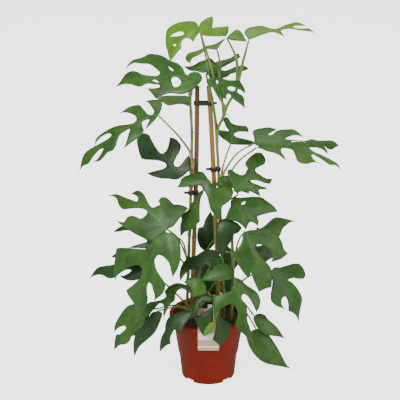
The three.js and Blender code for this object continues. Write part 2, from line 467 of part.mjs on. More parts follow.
    tip: [295.8, 221.4], faces: [20, 35], via: [[266, 231], [276, 225.5], [286, 221.6]],
    one: [[[256.5, 231], [256.5, 227], [259.5, 228.2], [263, 226.8], [268.5, 222], [272.5, 218.5],
    [275.5, 217.3], [281, 217.7], [288, 219.2]]], other: [[[266, 238], [275, 238.5], [279.5, 236.3],
    [281.3, 232.3], [282.5, 229], [286.5, 225.3], [290, 222.5]]] },
  { name: 'leaf_centre_dark', tone: 'dark', on: ['stem_low_right', 300], base: [233, 221, 58],
    tip: [223.2, 259], faces: [0, 20], via: [[227, 228], [223, 240], [222, 250]], one: [[[226, 218.5],
    [220.5, 220], [217, 224], [216.2, 232], [216, 241], [217, 250]]], other: [[[238, 223.5], [241.5, 228],
    [238.5, 232.5], [234.3, 234.3], [232.5, 238], [230.5, 242], [227, 247.5], [224.7, 253]]] },
  { name: 'leaf_right_big', tone: 'leaf', on: ['stem_low_right', 270], base: [245, 231.5, 92],
    tip: [259, 292], faces: [15, 22], via: [[247.5, 239], [250.5, 248], [254.5, 259], [258, 270],
    [259.8, 281]], one: [[[242.7, 235], [241.8, 241], [239, 246.5], [235.8, 251.5], [234.7, 256.5],
    [237, 263], [241, 269.5], [245, 274.8], [248.8, 278.3]], [[250, 275], [250.8, 272.8], [252.3, 277],
    [255, 284]]], other: [[[249, 230.2], [257, 229.5], [265, 229], [271.5, 230], [276.5, 233.3],
    [280.3, 239], [282.7, 244], [283.4, 248], [287.9, 253.6]], [[284.5, 256.5], [280, 259.6], [275, 261.1],
    [271.4, 262.3]], [[272.4, 257], [271, 251], [266.5, 247.2], [261.5, 244.7], [257, 244.8],
    [255.7, 248.2], [259, 253.7], [263.5, 259.5], [268, 264], [271, 268.5], [272.3, 276], [271.3, 287.5]],
    [[267, 288.2], [263, 290]]] },
  { name: 'leaf_left_behind', tone: 'dark', on: ['stem_left', 250], base: [153, 244, 32], tip: [113, 232.3],
    faces: [-20, 40], via: [[148, 238.5], [139, 232], [127, 228]], one: [[[150, 236], [144, 230.5],
    [136, 227], [126, 224.9], [118, 228]]], other: [[[150, 248], [140, 248.2], [128, 247.8]], [[134, 245.5],
    [142, 243.2], [147, 241.3], [140, 236.3], [128, 230.4], [120.5, 231.4]]] },
  { name: 'leaf_front_left', tone: 'leaf', on: ['stem_left', 240], through: [[182, 241, 50]],
    base: [165, 232.5, 92], tip: [138.3, 322.5], faces: [-25, 20], via: [[158, 244], [151.5, 257],
    [147.8, 270], [143.8, 285], [140.3, 303]], one: [[[160, 233.5], [154, 238.5], [150.5, 244],
    [146.5, 248.5], [140, 248.8], [133, 248.3], [126, 247.8], [119, 247.7], [116.2, 248.6]], [[115.7, 254],
    [114.7, 260], [113.9, 267], [114.2, 274], [115.5, 281.2]], [[116.5, 276.5], [119.5, 272.6],
    [125, 269.6], [131, 266.2], [137, 265], [140.8, 266.4], [141.8, 270.5], [141, 276], [137.8, 280.3],
    [133, 284.8], [126.1, 290.1]], [[128, 295], [131.7, 300.3], [134.6, 306], [136.3, 315]]],
    other: [[[170.5, 232.5], [175.5, 235], [179, 240.8], [180.6, 248], [180.8, 257], [178.5, 267],
    [172.6, 277.8]], [[171, 271], [169.3, 264], [165, 258.3], [161.5, 255.7], [158, 255.4], [155.3, 258.5],
    [155, 264], [157.3, 271], [161, 276.7], [164.8, 282.5], [165.3, 287.5], [162.5, 294], [153.6, 301]],
    [[154.6, 296.5], [153, 290], [151, 284], [148.7, 282.8], [147.2, 286.5], [147.1, 293], [147.9, 300],
    [145, 309], [141, 317]]] },
  { name: 'leaf_low_centre_back', tone: 'dark', on: ['stem_front', 230], base: [222, 260, 62],
    tip: [179.8, 281.3], faces: [-10, 45], via: [[213, 258], [203, 258.5], [194, 262.5], [186, 267],
    [181.5, 274]], one: [[[218, 252.5], [213, 249.6], [206, 249.8], [200.5, 252.5], [195, 256.2],
    [188.5, 257.5], [184.5, 261], [181.5, 266], [179.6, 273]]], other: [[[220, 265], [215, 266],
    [211, 268.5], [209.3, 271]], [[208.3, 266], [205.5, 264.2], [203.2, 266], [201, 270.5], [199, 275.5]],
    [[198.4, 271], [194, 269.6], [188, 271], [184, 275.5], [182, 278.5]]] },
  { name: 'leaf_low_centre', tone: 'leaf', on: ['stem_low_right', 230], base: [234, 272, 90],
    tip: [200.3, 280.5], faces: [-5, 40], via: [[224, 270.5], [213, 274.8]], one: [[[232, 267.5],
    [228, 264.5], [222, 262.9], [217, 264.5], [212, 269], [206, 273.5], [202, 278]]], other: [[[232, 278.5],
    [226, 280.2], [218, 280.3], [209, 281]]] },
  { name: 'leaf_left_low_behind', tone: 'dark', on: ['stem_front', 150], through: [[170, 288, 35]],
    base: [146, 266, 45], tip: [89.5, 278.2], faces: [-25, 35], via: [[133, 264], [119, 267.3],
    [106, 270.8], [96, 273]], one: [[[141, 255], [130, 250.5], [119, 251.5], [110.9, 257]], [[117, 258.5],
    [119.5, 261.5], [113, 264.6], [106, 265.6], [98, 267.5], [94.5, 271]]], other: [[[146, 272],
    [141.5, 278], [134, 280.6], [126.5, 280], [119.3, 275.8]], [[125.5, 274.8], [131.3, 270.4],
    [127, 269.7], [120.5, 273], [114, 278], [108, 278.1], [102, 275.2], [95.5, 275.3]]] },
  { name: 'leaf_right_far', tone: 'leaf', on: ['stem_low_right', 210], base: [270.5, 272, 38],
    tip: [298.8, 322.3], faces: [30, 25], via: [[278.5, 279], [286, 288.7], [291.5, 297.5], [295.8, 309]],
    one: [[[274, 267.5], [280, 267.2], [287, 265.3], [293.5, 263.6], [299, 263.8], [303.5, 268.5],
    [305.7, 274.5]], [[303.8, 278.6], [299, 278.9], [293, 278.1], [287.6, 279.7]], [[292.3, 282.8],
    [297, 288], [300.6, 294], [302.1, 298.5], [301, 306], [299.4, 314]]], other: [[[272.3, 278], [272, 286],
    [270.6, 294], [271, 300.5], [275, 305.2], [281, 307.8], [287.3, 309.6]], [[283, 306.7], [281.5, 302],
    [282.5, 298.2], [285, 296.7], [287.3, 299.8], [288.2, 305], [288.3, 310.9]], [[293.5, 313.4],
    [296.7, 317]]] },
  { name: 'leaf_front_right', tone: 'leaf', on: ['stem_low_right', 220], base: [234, 277, 96],
    tip: [254, 344], faces: [10, 25], via: [[237.5, 286], [239.3, 296], [241.8, 307], [244.3, 319],
    [247.8, 331]], one: [[[233.5, 283], [234, 287.5], [230.5, 290.7], [224, 293], [218, 294.7],
    [213.3, 296.8], [213.6, 303], [214, 310], [213.4, 316.6]], [[217.5, 312.3], [222, 308], [227.5, 304.8],
    [232.8, 303.9], [236, 308], [237.9, 313], [236.8, 319], [235.6, 324.5], [239, 330.7], [244.5, 335],
    [249, 341]]], other: [[[240, 279], [246, 284.5], [252.5, 288.8], [257.5, 293], [260.2, 299.5],
    [259.6, 306.5], [256.6, 312.2]], [[253.8, 306.5], [251, 301], [247, 295.8], [243.3, 294.2],
    [241.7, 297.5], [243.5, 301.3], [246.5, 306.5], [247.3, 313], [247, 318.5], [249, 325],
    [251.8, 334]]] },
  { name: 'leaf_bright_star', tone: 'young', on: ['stem_front', 210], base: [200, 277.5, 76],
    tip: [192.8, 297.2], faces: [0, 30], via: [[197.5, 284], [195, 291]], one: [[[193, 277.3],
    [187.5, 278.8], [183.8, 282.5]], [[188, 285.3], [191.4, 288.5], [192.3, 293]]], other: [[[204, 281.5],
    [206, 287], [206.5, 294.5]], [[201.5, 295.2], [197, 296.3]]] },
  { name: 'leaf_low_arched', tone: 'leaf', on: ['stem_front', 200], base: [191.5, 293.5, 66],
    tip: [141, 322], faces: [-15, 40], via: [[188.3, 289.5], [183, 286.2], [175, 286.8], [170, 291.5],
    [169, 298], [160.5, 301.6], [152.5, 305.3], [146, 313]], one: [[[190.5, 289.5], [187.5, 286],
    [182, 283.5], [176.5, 283], [171, 285], [167.3, 288], [164.5, 292], [166, 296.3], [161, 299.8],
    [154, 301.3], [148, 303], [144, 310]]], other: [[[188.5, 292.5], [185, 289.8], [181.5, 288.8],
    [178.3, 290.3], [175.4, 295], [174.8, 300.5], [170.5, 304], [167.3, 309.5], [163.6, 318.5]],
    [[163.2, 312.5], [163.7, 305.7], [160.8, 303.2], [156.5, 306.5], [152, 311.5], [147, 317.5]]] },
  { name: 'leaf_rim_arch', tone: 'dark', on: ['stem_front', 190], through: [[205, 290, 70]],
    base: [213.8, 299.5, 100], tip: [193, 317.5], faces: [-10, 30], via: [[206, 298.5], [199, 300],
    [196, 306], [194.8, 312]], one: [[[211.5, 296.2], [206.5, 294.6], [200, 296.3], [195, 299],
    [192.6, 304], [191.8, 311]]], other: [[[211, 302.2], [205, 302.2], [200.6, 303.5], [199.6, 309],
    [196.5, 315]]] },
  { name: 'leaf_low_left', tone: 'leaf', on: ['stem_front', 160], base: [152.5, 309.5, 58],
    tip: [114.2, 350.2], faces: [-25, 20], via: [[144, 315], [135, 324], [127.5, 334], [121, 342]],
    one: [[[149, 304.5], [141, 302.5], [134, 303.8], [128.5, 305.5], [124, 309.5], [119.5, 316],
    [115.7, 322.7], [114.2, 328], [114.5, 332.4]], [[117, 329], [120.5, 326.8], [124.5, 326], [126, 327.8],
    [123, 331.3], [119.3, 334.2], [116.5, 334.2], [115, 339], [114.3, 345]]], other: [[[149.5, 315],
    [147.5, 321.5], [144.5, 328], [140, 331.5], [135, 335.5], [131.5, 336.5], [130.2, 340], [127, 343.7],
    [123, 344.6], [119.5, 345.3]]] },
  { name: 'leaf_low_left_dark', tone: 'dark', on: ['stem_front', 155], base: [157, 311, 82],
    tip: [134.4, 357], faces: [-20, 20], via: [[153, 321], [146, 331], [138.5, 342.5]], one: [[[152, 312.5],
    [147.5, 319], [141, 327.5], [136, 333.5], [133.7, 341], [133.5, 349]]], other: [[[162.3, 312.8],
    [161.5, 318], [158, 327], [154.5, 333], [146, 341], [139, 347.3]]] },
  { name: 'leaf_rim_front', tone: 'dark', on: ['stem_front', 185], through: [[210, 297, 78]],
    base: [214.3, 304.5, 94], tip: [203.6, 336.5], faces: [-5, 20], via: [[211.5, 312], [208.5, 321],
    [205.5, 330]], one: [[[210.5, 308.3], [205, 312.3], [199.5, 315.2], [193.8, 316]], [[196, 321.5],
    [198.8, 328.5]]], other: [[[215, 311], [215, 320], [212.5, 328], [208, 333]]] },
  { name: 'leaf_rim_left', tone: 'dark', on: ['stem_front', 165], base: [193, 312, 88], tip: [159.7, 352],
    faces: [-20, 30], via: [[184, 315.5], [175, 321.5], [169, 329], [164.5, 340]], one: [[[185, 310.8],
    [177, 312.5], [171.5, 315], [167.5, 319], [165.3, 325], [164.7, 330.5], [161.7, 336.5], [160, 343.5]]],
    other: [[[190.5, 318], [185.5, 324], [182.2, 329.5], [179.7, 336.5]], [[177.7, 331.8], [175.3, 329.3],
    [172, 334], [170.2, 339], [170.8, 344]], [[167, 345.3], [163, 348.7]]] },
  { name: 'leaf_rim_dark', tone: 'dark', on: ['stem_front', 182], through: [[216, 296, 84]],
    base: [218.5, 312.5, 102], tip: [220.3, 346.3], faces: [5, 15], via: [[219, 323], [220, 335]],
    one: [[[216.8, 318], [215.8, 326], [214.3, 334.5], [212.3, 339.2]], [[216, 342.2]]],
    other: [[[221.5, 316], [225, 320.3], [231.5, 324]], [[229.8, 331], [228.5, 336.3], [224.5, 341.5]]] },
  { name: 'leaf_young_oval', tone: 'young', on: ['stem_front', 178], through: [[213, 298, 92]],
    base: [214, 322.8, 112], tip: [203.3, 336.3], faces: [-5, 10], via: [[209, 329.3]],
    one: [[[211.3, 321.9], [207.5, 325.3], [204.3, 331]]], other: [[[214.5, 326.5], [211.5, 331.3],
    [207.3, 335.2]]] },
  { name: 'leaf_right_low', tone: 'leaf', on: ['stem_low_right', 190], base: [254, 315.5, 60],
    tip: [284.9, 338.8], faces: [25, 30], via: [[262, 321.5], [272, 329]], one: [[[258.5, 313.5],
    [264.5, 314.8], [268, 319], [272.5, 323], [277.5, 327.8], [281.3, 333.3]]], other: [[[253.3, 319],
    [255.7, 325.5], [260, 330.5], [266, 334.7], [273, 336], [279.5, 336.9]]] },
  { name: 'leaf_right_entire', tone: 'leaf', on: ['stem_low_right', 180], base: [256, 328.5, 50],
    tip: [291.6, 368.8], faces: [20, 20], via: [[262, 340], [271, 351.5], [281, 361.5]],
    one: [[[250.5, 331.5], [246.5, 337], [248, 343.5], [252, 351.5], [258.5, 359], [265, 363], [273, 365.1],
    [282, 366.7]]], other: [[[262, 329.5], [268, 334], [273, 340.5], [278, 348.3], [282.5, 357],
    [287, 365]]] },
  { name: 'leaf_back_high', tone: 'leaf', on: ['stem_back', 400], base: [214, 184, -64], tip: [263, 187],
    faces: [165, 40], via: [[230, 185], [246, 185.5]], one: [[[220, 180.5], [226, 176.8], [231, 176]],
    [[232, 180.5], [237, 182], [242, 180], [251, 177.8]], [[251, 181.7], [256, 184]]],
    other: [[[219, 187.5], [224, 192], [229, 193.3]], [[231, 189], [236, 188], [242, 191.5], [249, 193.8]],
    [[250, 190], [256, 188.7]]] },
  { name: 'leaf_back_left', tone: 'dark', on: ['stem_back', 300], base: [206, 252, -52], tip: [210.5, 211],
    faces: [0, 25], via: [[207, 238], [209, 224]], one: [[[200, 247], [197, 238], [198, 228]], [[203, 226],
    [205, 220]]], other: [[[213, 246], [218, 236], [219, 226]], [[215, 222], [213, 216]]] },
  { name: 'leaf_back_right', tone: 'dark', on: ['stem_back', 270], base: [246, 262, -60], tip: [277, 243],
    faces: [20, 30], via: [[255, 256.5], [266, 250]], one: [[[247, 252], [252, 244]], [[258, 246],
    [263, 244], [267, 238]], [[271, 240]]], other: [[[253, 267], [262, 268]], [[266, 262], [272, 258],
    [278, 256]], [[277, 250]]] },
  { name: 'leaf_back_middle', tone: 'dark', on: ['stem_back', 200], base: [205, 302, -48], tip: [203, 262],
    faces: [0, 25], via: [[205, 290], [204, 276]], one: [[[198, 298], [190, 293], [185, 285]], [[191, 281],
    [193, 276], [190, 268]], [[197, 265]]], other: [[[212, 299], [219, 293], [224, 286]], [[218, 281],
    [214, 277], [217, 268]], [[209, 264]]] },
  { name: 'leaf_back_low', tone: 'dark', on: ['stem_back', 190], base: [229, 298, -46], tip: [228, 246],
    faces: [8, 25], via: [[229, 282], [228.5, 264]], one: [[[222, 294], [217, 287]], [[221, 279],
    [222, 272], [218, 263]], [[222, 256], [225, 250]]], other: [[[234, 293], [240, 286]], [[236, 279],
    [234, 272], [240, 262]], [[236, 255], [231, 249]]] },
];

// The pot: a turned shell with a rolled lip, a step in its wall and a foot ring that the floor's pad
// is level with, cut by drainage notches and holes

const POT_GROOVE_IN = POT_PAD_RADIUS + 2;
const POT_GROOVE_OUT = POT_FOOT_RADIUS - POT_FOOT_RING;
const POT_STEP_RISE = 3;

function wallRadius(z) {
  if (z >= POT_STEP_HEIGHT) {
    const rise = (z - POT_STEP_HEIGHT) / (POT_HEIGHT - POT_STEP_HEIGHT);
    return POT_STEP_UPPER_RADIUS + rise * (POT_WALL_TOP_RADIUS - POT_STEP_UPPER_RADIUS);
  }
  const rise = z / (POT_STEP_HEIGHT - POT_STEP_RISE);
  return POT_FOOT_RADIUS + Math.min(rise, 1) * (POT_STEP_LOWER_RADIUS - POT_FOOT_RADIUS);
}

function turned(profile) {
  const lathe = new THREE.LatheGeometry(profile.map(([r, z]) => new THREE.Vector2(r, z)), POT_SIDES);
  return lathe.rotateX(Math.PI / 2);
}

// The shape of the pot's inside, `inset` mm within its walls, from the middle of the floor upwards
function innerProfile(inset, top) {
  const floor = POT_GROOVE_DEPTH + POT_FLOOR + inset;
  const stepFoot = POT_STEP_HEIGHT - POT_STEP_RISE;
  return [
    [0, POT_FLOOR + inset],
    [POT_PAD_RADIUS - POT_FLOOR - inset, POT_FLOOR + inset],
    [POT_GROOVE_IN - POT_FLOOR - inset, floor],
    [wallRadius(floor) - POT_WALL - inset, floor],
    [wallRadius(stepFoot) - POT_WALL - inset, stepFoot],
    [wallRadius(POT_STEP_HEIGHT) - POT_WALL - inset, POT_STEP_HEIGHT],
    [wallRadius(top) - POT_WALL - inset, top],
  ];
}

function potGeometry() {
  const under = POT_HEIGHT - POT_WALL;
  const lipFoot = POT_HEIGHT - POT_LIP_DEPTH;
  const outer = [
    [0, 0], [POT_PAD_RADIUS, 0], [POT_GROOVE_IN, POT_GROOVE_DEPTH], [POT_GROOVE_OUT, POT_GROOVE_DEPTH],
    [POT_GROOVE_OUT, 0], [POT_FOOT_RADIUS, 0],
    [POT_STEP_LOWER_RADIUS, POT_STEP_HEIGHT - POT_STEP_RISE], [POT_STEP_UPPER_RADIUS, POT_STEP_HEIGHT],
    [wallRadius(under), under], [POT_RIM_RADIUS - POT_WALL, under], [POT_RIM_RADIUS - POT_WALL, lipFoot],
    [POT_RIM_RADIUS, lipFoot], [POT_RIM_RADIUS, POT_HEIGHT - 1], [POT_RIM_RADIUS - 1, POT_HEIGHT],
  ];
  let solid = solidOf(turned([...outer, ...innerProfile(0, POT_HEIGHT).reverse()]));
  for (const corner of CORNERS) {
    const angle = THREE.MathUtils.degToRad(corner);
    const notch = new THREE.BoxGeometry(NOTCH_REACH, NOTCH_WIDTH, NOTCH_HEIGHT * 2);
    notch.translate(POT_FOOT_RADIUS, 0, 0).rotateZ(angle);
    const hole = new THREE.CylinderGeometry(DRAIN_HOLE_RADIUS, DRAIN_HOLE_RADIUS, DRAIN_HOLE_DEPTH, 12);
    hole.rotateX(Math.PI / 2).translate(DRAIN_HOLE_OUT, 0, 0).rotateZ(angle);
    solid = solid.subtract(solidOf(notch)).subtract(solidOf(hole));
  }
  return geometryOf(solid);
}

// The canes lean together towards their tops
const CANES = {
  cane_left: { top: [197.3, 86, 0], middle: [196.2, 172, 0], soil: [191.8, 306, 0] },
  cane_right: { top: [208.8, 86, 0], middle: [213.6, 172, 0], soil: [219, 306, 0] },
};

function caneCurve({ top, middle, soil }, foot) {
  const [high, mid, low] = [top, middle, soil].map((spot) => seen(...spot));
  const slope = mid.clone().sub(low).divideScalar(mid.z - low.z);
  const end = low.clone().addScaledVector(slope, foot - low.z);
  return new THREE.CatmullRomCurve3([end, low, mid, high]);
}

function caneRadius(length) {
  return (u) => {
    const along = (u * length) % CANE_NODE_SPACING;
    const off = Math.min(along, CANE_NODE_SPACING - along);
    return CANE_RADIUS + (off < 8 ? CANE_NODE_BULGE : 0);
  };
}

// The point of a curve nearest a height
function atHeight(curve, z) {
  const samples = curve.getSpacedPoints(HEIGHT_SAMPLES);
  return samples.reduce((best, p) => (Math.abs(p.z - z) < Math.abs(best.z - z) ? p : best));
}

// The stems. Two climb beside the canes, and three are short shoots from the soil.
const BESIDE = CANE_RADIUS + CANE_NODE_BULGE + STEM_RADIUS + STEM_CANE_GAP;
const STEM_FOOT = 95;
const STEM_TAPER_FROM = 0.9;
const STEM_TOP_SHARE = 0.8;

function besideCane(name, side, heights) {
  const curve = caneCurve(CANES[name], CANE_FOOT);
  return heights.map((z) => {
    const at = atHeight(curve, z);
    return new THREE.Vector3(at.x + side * BESIDE, at.y, z);
  });
}

const spots = (...list) => list.map((spot) => seen(...spot));
const STEMS = {
  stem_left: [...besideCane('cane_left', -1, [STEM_FOOT, 180, 260, 340, 420, 500, 560]),
    ...spots([190.4, 105, 0], [190, 84, 2])],
  stem_right: [...besideCane('cane_right', 1, [STEM_FOOT, 180, 260, 340, 420, 500, 540]),
    ...spots([218.5, 127, 2], [222.5, 119, 4], [226, 108, 6], [231, 99, 6], [236, 91, 6], [238, 82, 6])],
  stem_front: [new THREE.Vector3(-12, -30, STEM_FOOT), ...spots([199, 290, 40], [200, 262, 38])],
  stem_low_right: [new THREE.Vector3(48, -12, STEM_FOOT), ...spots([233, 280, 18], [232, 240, 20], [230, 212, 18])],
  stem_back: [new THREE.Vector3(22, 42, STEM_FOOT),
    ...spots([216.5, 250, -42], [214.7, 200, -40], [212.4, 150, -36])],
};

const stemCurve = (name) => new THREE.CatmullRomCurve3(STEMS[name]);
const stemRadius = (u) => STEM_RADIUS * (u > STEM_TAPER_FROM ? STEM_TOP_SHARE : 1);

function stalkCurve(leaf) {
  const start = atHeight(stemCurve(leaf.on[0]), leaf.on[1]);
  const way = (leaf.through ?? []).map((spot) => seen(...spot));
  if (way.length === 0) {
    const rise = new THREE.Vector3(0, 0, STALK_RISE * leaf.base.distanceTo(start));
    way.push(between(start, leaf.base, 0.5).add(rise));
  }
  const arrival = leaf.base.clone().sub(way.at(-1)).normalize();
  const steep = arrival.dot(leaf.normal);
  const under = BLADE_THICKNESS / 2 + GAP + STALK_TIP_RADIUS * Math.sqrt(1 - steep * steep);
  const end = leaf.base.clone().addScaledVector(leaf.normal, -Math.sign(steep) * under);
  return new THREE.CatmullRomCurve3([start, ...way, end]);
}

// Aerial roots: short stubs at these heights, turned this many degrees from the front, this long
const ROOTS = {
  stem_left: [[330, -80, 9], [404, 170, 12], [510, 40, 18], [560, 30, 12], [250, -60, 9], [225, -75, 9]],
  stem_right: [[300, 100, 9], [390, 150, 10], [520, 170, 12], [600, 60, 12]],
  stem_back: [[200, 190, 10], [340, 160, 12]],
};

function rootTube([height, turn, length], curve) {
  const start = atHeight(curve, height);
  const reach = STEM_RADIUS + length;
  const middle = start.clone().addScaledVector(facing(turn, 10), reach * 0.5);
  const end = start.clone().addScaledVector(facing(turn, -15), reach);
  return tube(new THREE.CatmullRomCurve3([start, middle, end]), 3, 4, (u) => ROOT_RADIUS * (1.3 - 0.6 * u));
}

function stemGeometry(name, leaves) {
  const curve = stemCurve(name);
  const steps = Math.round(curve.getLength() / 40);
  let solid = solidOf(tube(curve, steps, 6, stemRadius));
  for (const leaf of leaves) {
    const stalk = stalkCurve(leaf);
    const taper = (u) => STALK_RADIUS + (STALK_TIP_RADIUS - STALK_RADIUS) * u;
    solid = solid.add(solidOf(tube(stalk, Math.max(4, Math.round(stalk.getLength() / 25)), 5, taper)));
  }
  for (const root of ROOTS[name] ?? []) solid = solid.add(solidOf(rootTube(root, curve)));
  return geometryOf(solid);
}

// The soil, with a plain hole for each cane and stem
function soilGeometry() {
  const profile = [...innerProfile(GAP, SOIL_LEVEL), [0, SOIL_LEVEL + SOIL_MOUND]];
  let solid = solidOf(turned(profile));
  const below = new THREE.Vector3(0, 0, -GAP);
  for (const cane of Object.values(CANES)) {
    const curve = caneCurve(cane, CANE_FOOT);
    const points = curve.getSpacedPoints(24).filter((p) => p.z < SOIL_LEVEL + 60);
    points[0].add(below);
    const hole = tube(new THREE.CatmullRomCurve3(points), 4, 10, () => CANE_RADIUS + CANE_NODE_BULGE + GAP);
    solid = solid.subtract(solidOf(hole));
  }
  for (const name of Object.keys(STEMS)) {
    const points = stemCurve(name).getSpacedPoints(40).filter((p) => p.z < SOIL_LEVEL + 40);
    points[0].add(below);
    const hole = tube(new THREE.CatmullRomCurve3(points), 3, 8, () => STEM_RADIUS / Math.cos(Math.PI / 8) + GAP);
    solid = solid.subtract(solidOf(hole));
  }
  return geometryOf(solid);
}

// The ties: flat loops round a cane and what it holds, each with a tail
const caneAt = (name, z) => atHeight(caneCurve(CANES[name], CANE_FOOT), z);

// `near` and `far` are the radii of what the loop holds at its two ends. The tail leaves the far end,
// or the near one where it is negative.
function tieGeometry(z, [from, near], [to, far], tail) {
  const reach = to.x - from.x;
  const loop = (looseness) => {
    const shape = new THREE.Shape();
    shape.absarc(0, 0, near + looseness, Math.PI / 2, (3 * Math.PI) / 2, false);
    shape.absarc(reach, 0, far + looseness, -Math.PI / 2, Math.PI / 2, false);
    return shape;
  };
  const band = (shape, depth) => new THREE.ExtrudeGeometry(shape, { depth, bevelEnabled: false, curveSegments: 8 });
  const hollow = band(loop(GAP), TIE_HEIGHT * 2).translate(0, 0, -TIE_HEIGHT / 2);
  const root = tail > 0 ? reach + far + GAP : -near - GAP;
  const strip = new THREE.BoxGeometry(Math.abs(tail), TIE_THICKNESS, TIE_TAIL_HEIGHT);
  strip.translate(root + tail / 2, 0, TIE_HEIGHT / 2);
  const solid = solidOf(band(loop(GAP + TIE_THICKNESS), TIE_HEIGHT))
    .add(solidOf(strip))
    .subtract(solidOf(hollow));
  const turn = Math.atan2(to.y - from.y, reach);
  return geometryOf(solid).rotateZ(turn).translate(from.x, from.y, z - TIE_HEIGHT / 2);
}

// The plant label: a bare card that hangs over the rim by a tongue cut from it
function labelGeometry() {
  const { width, height, thickness, lean } = LABEL;
  const { tongueWidth, tongueReach, tongueDrop, bridgeAt, tab } = LABEL;
  const card = new THREE.BoxGeometry(width, thickness, height);
  const tongue = new THREE.BoxGeometry(tongueWidth, thickness, tongueDrop);
  tongue.translate(0, tongueReach, bridgeAt - tongueDrop / 2);
  const bridge = new THREE.BoxGeometry(tongueWidth, tongueReach, thickness).translate(0, tongueReach / 2, bridgeAt);
  const hangTab = new THREE.BoxGeometry(tab.width, thickness, tab.height * 2).translate(tab.right, 0, height / 2);
  const solid = [tongue, bridge, hangTab].reduce((all, piece) => all.add(solidOf(piece)), solidOf(card));
  const geometry = geometryOf(solid).rotateX(THREE.MathUtils.degToRad(-lean));
  return geometry.translate(0, -POT_RIM_RADIUS - LABEL.off, POT_HEIGHT + LABEL.rise);
}

// The model

const COLOURS = {
  leaf: 0x4c7a2c, dark: 0x2f5520, young: 0x7fa63a, pale: 0x7c9a62, stem: 0x6f8f3c, pot: 0x963a22,
  soil: 0x2a1c14, cane: 0xb8935a, tie: 0x17181a, card: 0xcdb892,
};

const plant = new THREE.Group();

function add(name, geometry, colour, roughness) {
  const material = new THREE.MeshStandardMaterial({ color: colour, roughness, metalness: 0 });
  const mesh = new THREE.Mesh(geometry, material);
  mesh.name = name;
  plant.add(mesh);
}

add('pot', potGeometry(), COLOURS.pot, 0.5);
add('soil', soilGeometry(), COLOURS.soil, 1);
for (const [name, cane] of Object.entries(CANES)) {
  const curve = caneCurve(cane, CANE_FOOT);
  const steps = Math.round(curve.getLength() / 25);
  add(name, tube(curve, steps, 8, caneRadius(curve.getLength())), COLOURS.cane, 0.6);
}

const leaves = LEAVES.map(placed);
for (const name of Object.keys(STEMS)) {
  add(name, stemGeometry(name, leaves.filter((leaf) => leaf.on[0] === name)), COLOURS.stem, 0.5);
}
for (const leaf of leaves) {
  add(leaf.name, thickened(bladeSheet(leaf), BLADE_THICKNESS), COLOURS[leaf.tone], 0.45);
}

const TIES = { tie_top: 622, tie_right: 478, tie_left: 425 };
const held = (name, tie, bulge) => [caneAt(name, TIES[tie]), CANE_RADIUS + bulge];
const stemBeside = ([at], side) => [new THREE.Vector3(at.x + side * BESIDE, at.y, at.z), STEM_RADIUS];
const [topLeft, topRight] = ['cane_left', 'cane_right'].map((name) => held(name, 'tie_top', CANE_NODE_BULGE));
const right = held('cane_right', 'tie_right', CANE_NODE_BULGE);
const left = held('cane_left', 'tie_left', 0);
add('tie_top', tieGeometry(TIES.tie_top, topLeft, topRight, 9), COLOURS.tie, 0.5);
add('tie_right', tieGeometry(TIES.tie_right, right, stemBeside(right, 1), -10), COLOURS.tie, 0.5);
add('tie_left', tieGeometry(TIES.tie_left, stemBeside(left, -1), left, -10), COLOURS.tie, 0.5);
add('plant_label', labelGeometry(), COLOURS.card, 0.7);

export default plant;
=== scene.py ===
# %% [markdown]
# # A potted climber with split leaves
# A Rhaphidophora tetrasperma climbs two bamboo canes in a brick-red nursery pot. The plant is about
# 80 cm high. Everything is in metres, with +Z up and the origin under the middle of the pot.
# The CAD frame is loaded first: each finer piece below takes the place of one of its nodes.

# %% Load the frame
import math
from collections import namedtuple

import bmesh
import bpy
import numpy as np
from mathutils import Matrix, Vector, noise
from mathutils.geometry import delaunay_2d_cdt


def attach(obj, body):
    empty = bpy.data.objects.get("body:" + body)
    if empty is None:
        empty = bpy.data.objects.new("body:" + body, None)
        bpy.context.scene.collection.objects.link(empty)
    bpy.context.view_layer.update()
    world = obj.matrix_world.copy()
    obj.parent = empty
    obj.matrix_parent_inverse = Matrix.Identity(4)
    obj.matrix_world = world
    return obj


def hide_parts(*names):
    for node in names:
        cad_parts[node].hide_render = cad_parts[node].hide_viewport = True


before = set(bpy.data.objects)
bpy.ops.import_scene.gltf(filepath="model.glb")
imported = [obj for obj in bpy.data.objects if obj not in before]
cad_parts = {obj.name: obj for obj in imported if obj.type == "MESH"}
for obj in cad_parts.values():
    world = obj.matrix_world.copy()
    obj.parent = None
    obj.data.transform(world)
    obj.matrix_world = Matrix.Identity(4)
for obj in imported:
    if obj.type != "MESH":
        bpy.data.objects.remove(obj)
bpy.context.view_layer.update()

MM = 0.001
print("CAD nodes:", len(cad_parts))

# %% [markdown]
# ## The view
# The plant is seen from 2.7 m in front and a little above, through a long lens. Because each leaf is
# placed by where its base and tips are seen, the same view also turns a pixel of the 400 by 400 picture
# into a point in space: `seen` needs the distance in front of the pot's axis, and `seen_on_plane` needs
# a plane that the point lies on. These helpers work in millimetres.

# %% Camera, and points by where they are seen
EYE = np.array((-18.0, -2730.0, 1506.0))
LOOK_DOWN = math.radians(21.9)
FOCAL_PIXELS = 1400
PICTURE = 400
SENSOR = 36
VIEW_FORWARD = np.array((0, math.cos(LOOK_DOWN), -math.sin(LOOK_DOWN)))
VIEW_UP = np.array((0, math.sin(LOOK_DOWN), math.cos(LOOK_DOWN)))
VIEW_RIGHT = np.array((1.0, 0, 0))

bpy.ops.object.camera_add(location=EYE * MM, rotation=(math.pi / 2 - LOOK_DOWN, 0, 0))
camera = bpy.context.object
camera.name = "camera"
camera.data.sensor_width = SENSOR
camera.data.lens = SENSOR * FOCAL_PIXELS / PICTURE
bpy.context.scene.camera = camera


def unit(vector):
    return vector / np.linalg.norm(vector)


def view_ray(px, py):
    right = (px - PICTURE / 2) / FOCAL_PIXELS
    up = (PICTURE / 2 - py) / FOCAL_PIXELS
    return unit(VIEW_FORWARD + VIEW_RIGHT * right + VIEW_UP * up)


